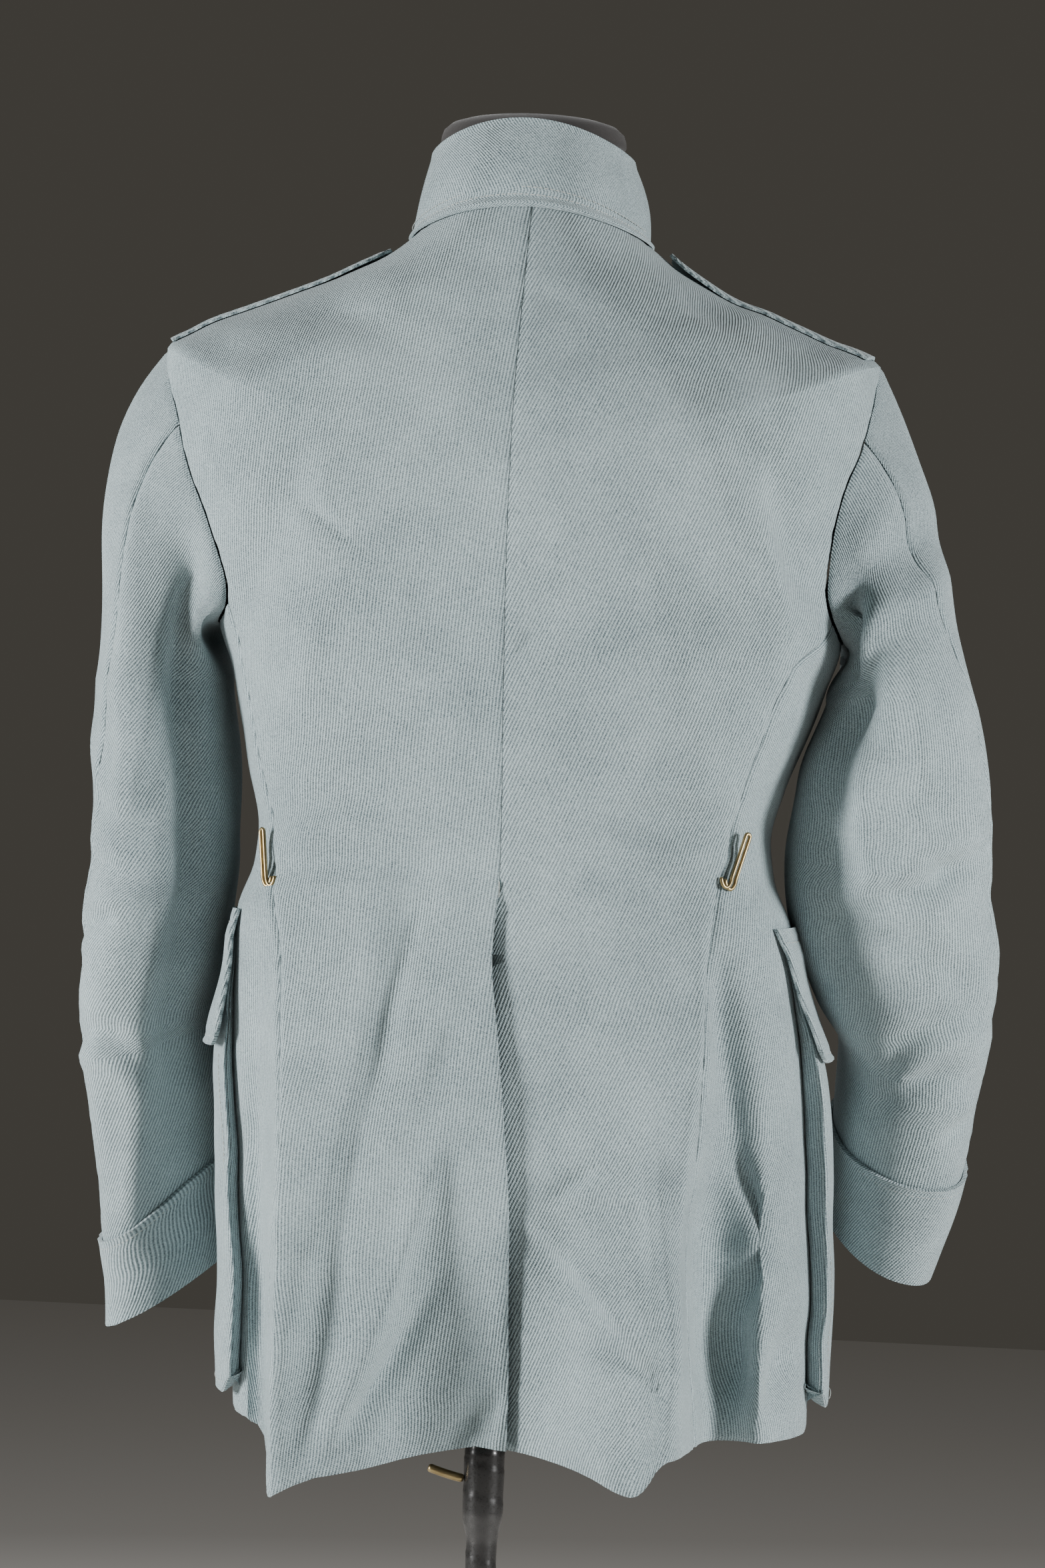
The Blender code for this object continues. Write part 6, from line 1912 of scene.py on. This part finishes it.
def taped_pole():
    """The pole with its tape wound in a spiral, each turn's edge lapping over the last."""
    clamp = WAIST_Z + CLAMP_LEVEL
    top = WAIST_Z + FORM_FOOT_LEVEL - GAP - PLATE_THICKNESS - GAP
    heights = np.linspace(BASE_RISE + GAP, top, 420)
    places = [BASE_RISE, clamp - 0.035, clamp - 0.016, clamp + 0.020, clamp + 0.024, top]
    radius = smooth_table(heights, places, [0.0095, 0.0095, 0.0124, 0.0124, 0.0114, 0.0114])
    sides = 40
    turn = np.linspace(0, 1, sides, endpoint=False)
    wind = (heights[:, None] / TAPE_PITCH + turn[None, :]) % 1.0
    relief = 0.00035 * (wind - 0.5) - 0.0002
    wide = radius[:, None] + relief
    rings = np.stack([wide * np.cos(2 * math.pi * turn), wide * np.sin(2 * math.pi * turn),
                      np.repeat(heights[:, None], sides, axis=1)], axis=-1)
    rings = np.concatenate([rings[:1] * [0.001, 0.001, 1.0], rings, rings[-1:] * [0.001, 0.001, 1.0]])
    faces, row, column = ring_quads(len(rings), sides)
    uvs = ring_uvs(row, column, 0.002, 0.0018)
    return mesh_object("taped_pole", rings.reshape(-1, 3), faces, uvs, black_tape, 40.0)


dress_node(taped_pole(), "pole")
plate_top = WAIST_Z + FORM_FOOT_LEVEL - GAP
plate_foot = plate_top - PLATE_THICKNESS
plate_profile = [(0.0, plate_foot), (0.052, plate_foot), (0.0565, plate_top - 0.0168),
                 (0.0595, plate_top - 0.0135), (0.060, plate_top - 0.010), (0.060, plate_top - 0.001),
                 (0.059, plate_top), (0.0, plate_top)]
dress_node(turned("foot_plate_iron", plate_profile, black_paint), "form_foot_plate")
base_profile = [(0.0, 0.0), (BASE_RADIUS - 0.003, 0.0), (BASE_RADIUS - 0.0008, 0.0012), (BASE_RADIUS, 0.004),
                (BASE_RADIUS - 0.0008, 0.009), (BASE_RADIUS - 0.004, 0.013), (BASE_RADIUS * 0.80, 0.0165),
                (BASE_RADIUS * 0.55, 0.020), (0.060, 0.0245), (0.032, 0.028), (0.026, 0.0305),
                (0.022, 0.0335), (0.0205, BASE_RISE), (0.0, BASE_RISE)]
dress_node(turned("stand_base_iron", base_profile, black_paint, sides=160), "base")
clamp_z = WAIST_Z + CLAMP_LEVEL
lever_path = [(0.0131 + 0.0189 * part, 0.004, clamp_z + 0.004 + 0.005 * part**1.2)
              for part in np.linspace(0, 1, 12)]
dress_node(swept("clamp_lever_brass", lever_path, 0.0026, old_brass, 16), "clamp_lever")
print("stand:", BASE_RADIUS * 2, "m across its base")

# %% [markdown]
# A pale floor lies under the stand, before a dim warm background. Two soft lamps stand wide to the left and
# right on the camera's side, level with the coat, so their light grazes the cloth and shows its wale and
# creases. A weaker one lights the front.

# %% Floor and lights
FLOOR_HALF = 6
FLOOR_PAPER = (0.72, 0.70, 0.67, 1.0)
BACKGROUND = (1.0, 0.93, 0.80, 1.0)
BACKGROUND_STRENGTH = 0.055
# Name, place, aim, width and height, watts
LAMPS = (
    ("left_lamp", (2.4, 1.2, 1.25), (0.0, 0.0, 1.10), (0.5, 0.8), 126.0),
    ("right_lamp", (-2.5, 1.1, 1.30), (0.0, 0.0, 1.10), (0.5, 0.8), 100.0),
    ("front_lamp", (0.6, -2.6, 2.2), (0.0, 0.0, 1.1), (1.8, 1.8), 22.0),
)
floor_mesh = bpy.data.meshes.new("floor")
corners = ((-1, -1), (1, -1), (1, 1), (-1, 1))
floor_mesh.from_pydata([(x * FLOOR_HALF, y * FLOOR_HALF, 0) for x, y in corners], [], [(0, 1, 2, 3)])
floor = bpy.data.objects.new("floor", floor_mesh)
bpy.context.scene.collection.objects.link(floor)
paper = bpy.data.materials.new("pale_floor")
paper.use_nodes = True
paper_shader = paper.node_tree.nodes["Principled BSDF"]
paper_shader.inputs["Base Color"].default_value = FLOOR_PAPER
paper_shader.inputs["Roughness"].default_value = 0.9
floor_mesh.materials.append(paper)

world = bpy.data.worlds.new("studio")
world.use_nodes = True
world.node_tree.nodes["Background"].inputs["Color"].default_value = BACKGROUND
world.node_tree.nodes["Background"].inputs["Strength"].default_value = BACKGROUND_STRENGTH
bpy.context.scene.world = world
for name, place, aim, size, power in LAMPS:
    lamp = bpy.data.lights.new(name, "AREA")
    lamp.shape = "RECTANGLE"
    lamp.size, lamp.size_y = size
    lamp.energy = power
    thing = bpy.data.objects.new(name, lamp)
    thing.location = place
    thing.rotation_euler = (Vector(aim) - Vector(place)).to_track_quat("-Z", "Y").to_euler()
    bpy.context.scene.collection.objects.link(thing)
print("lamps:", len(LAMPS))
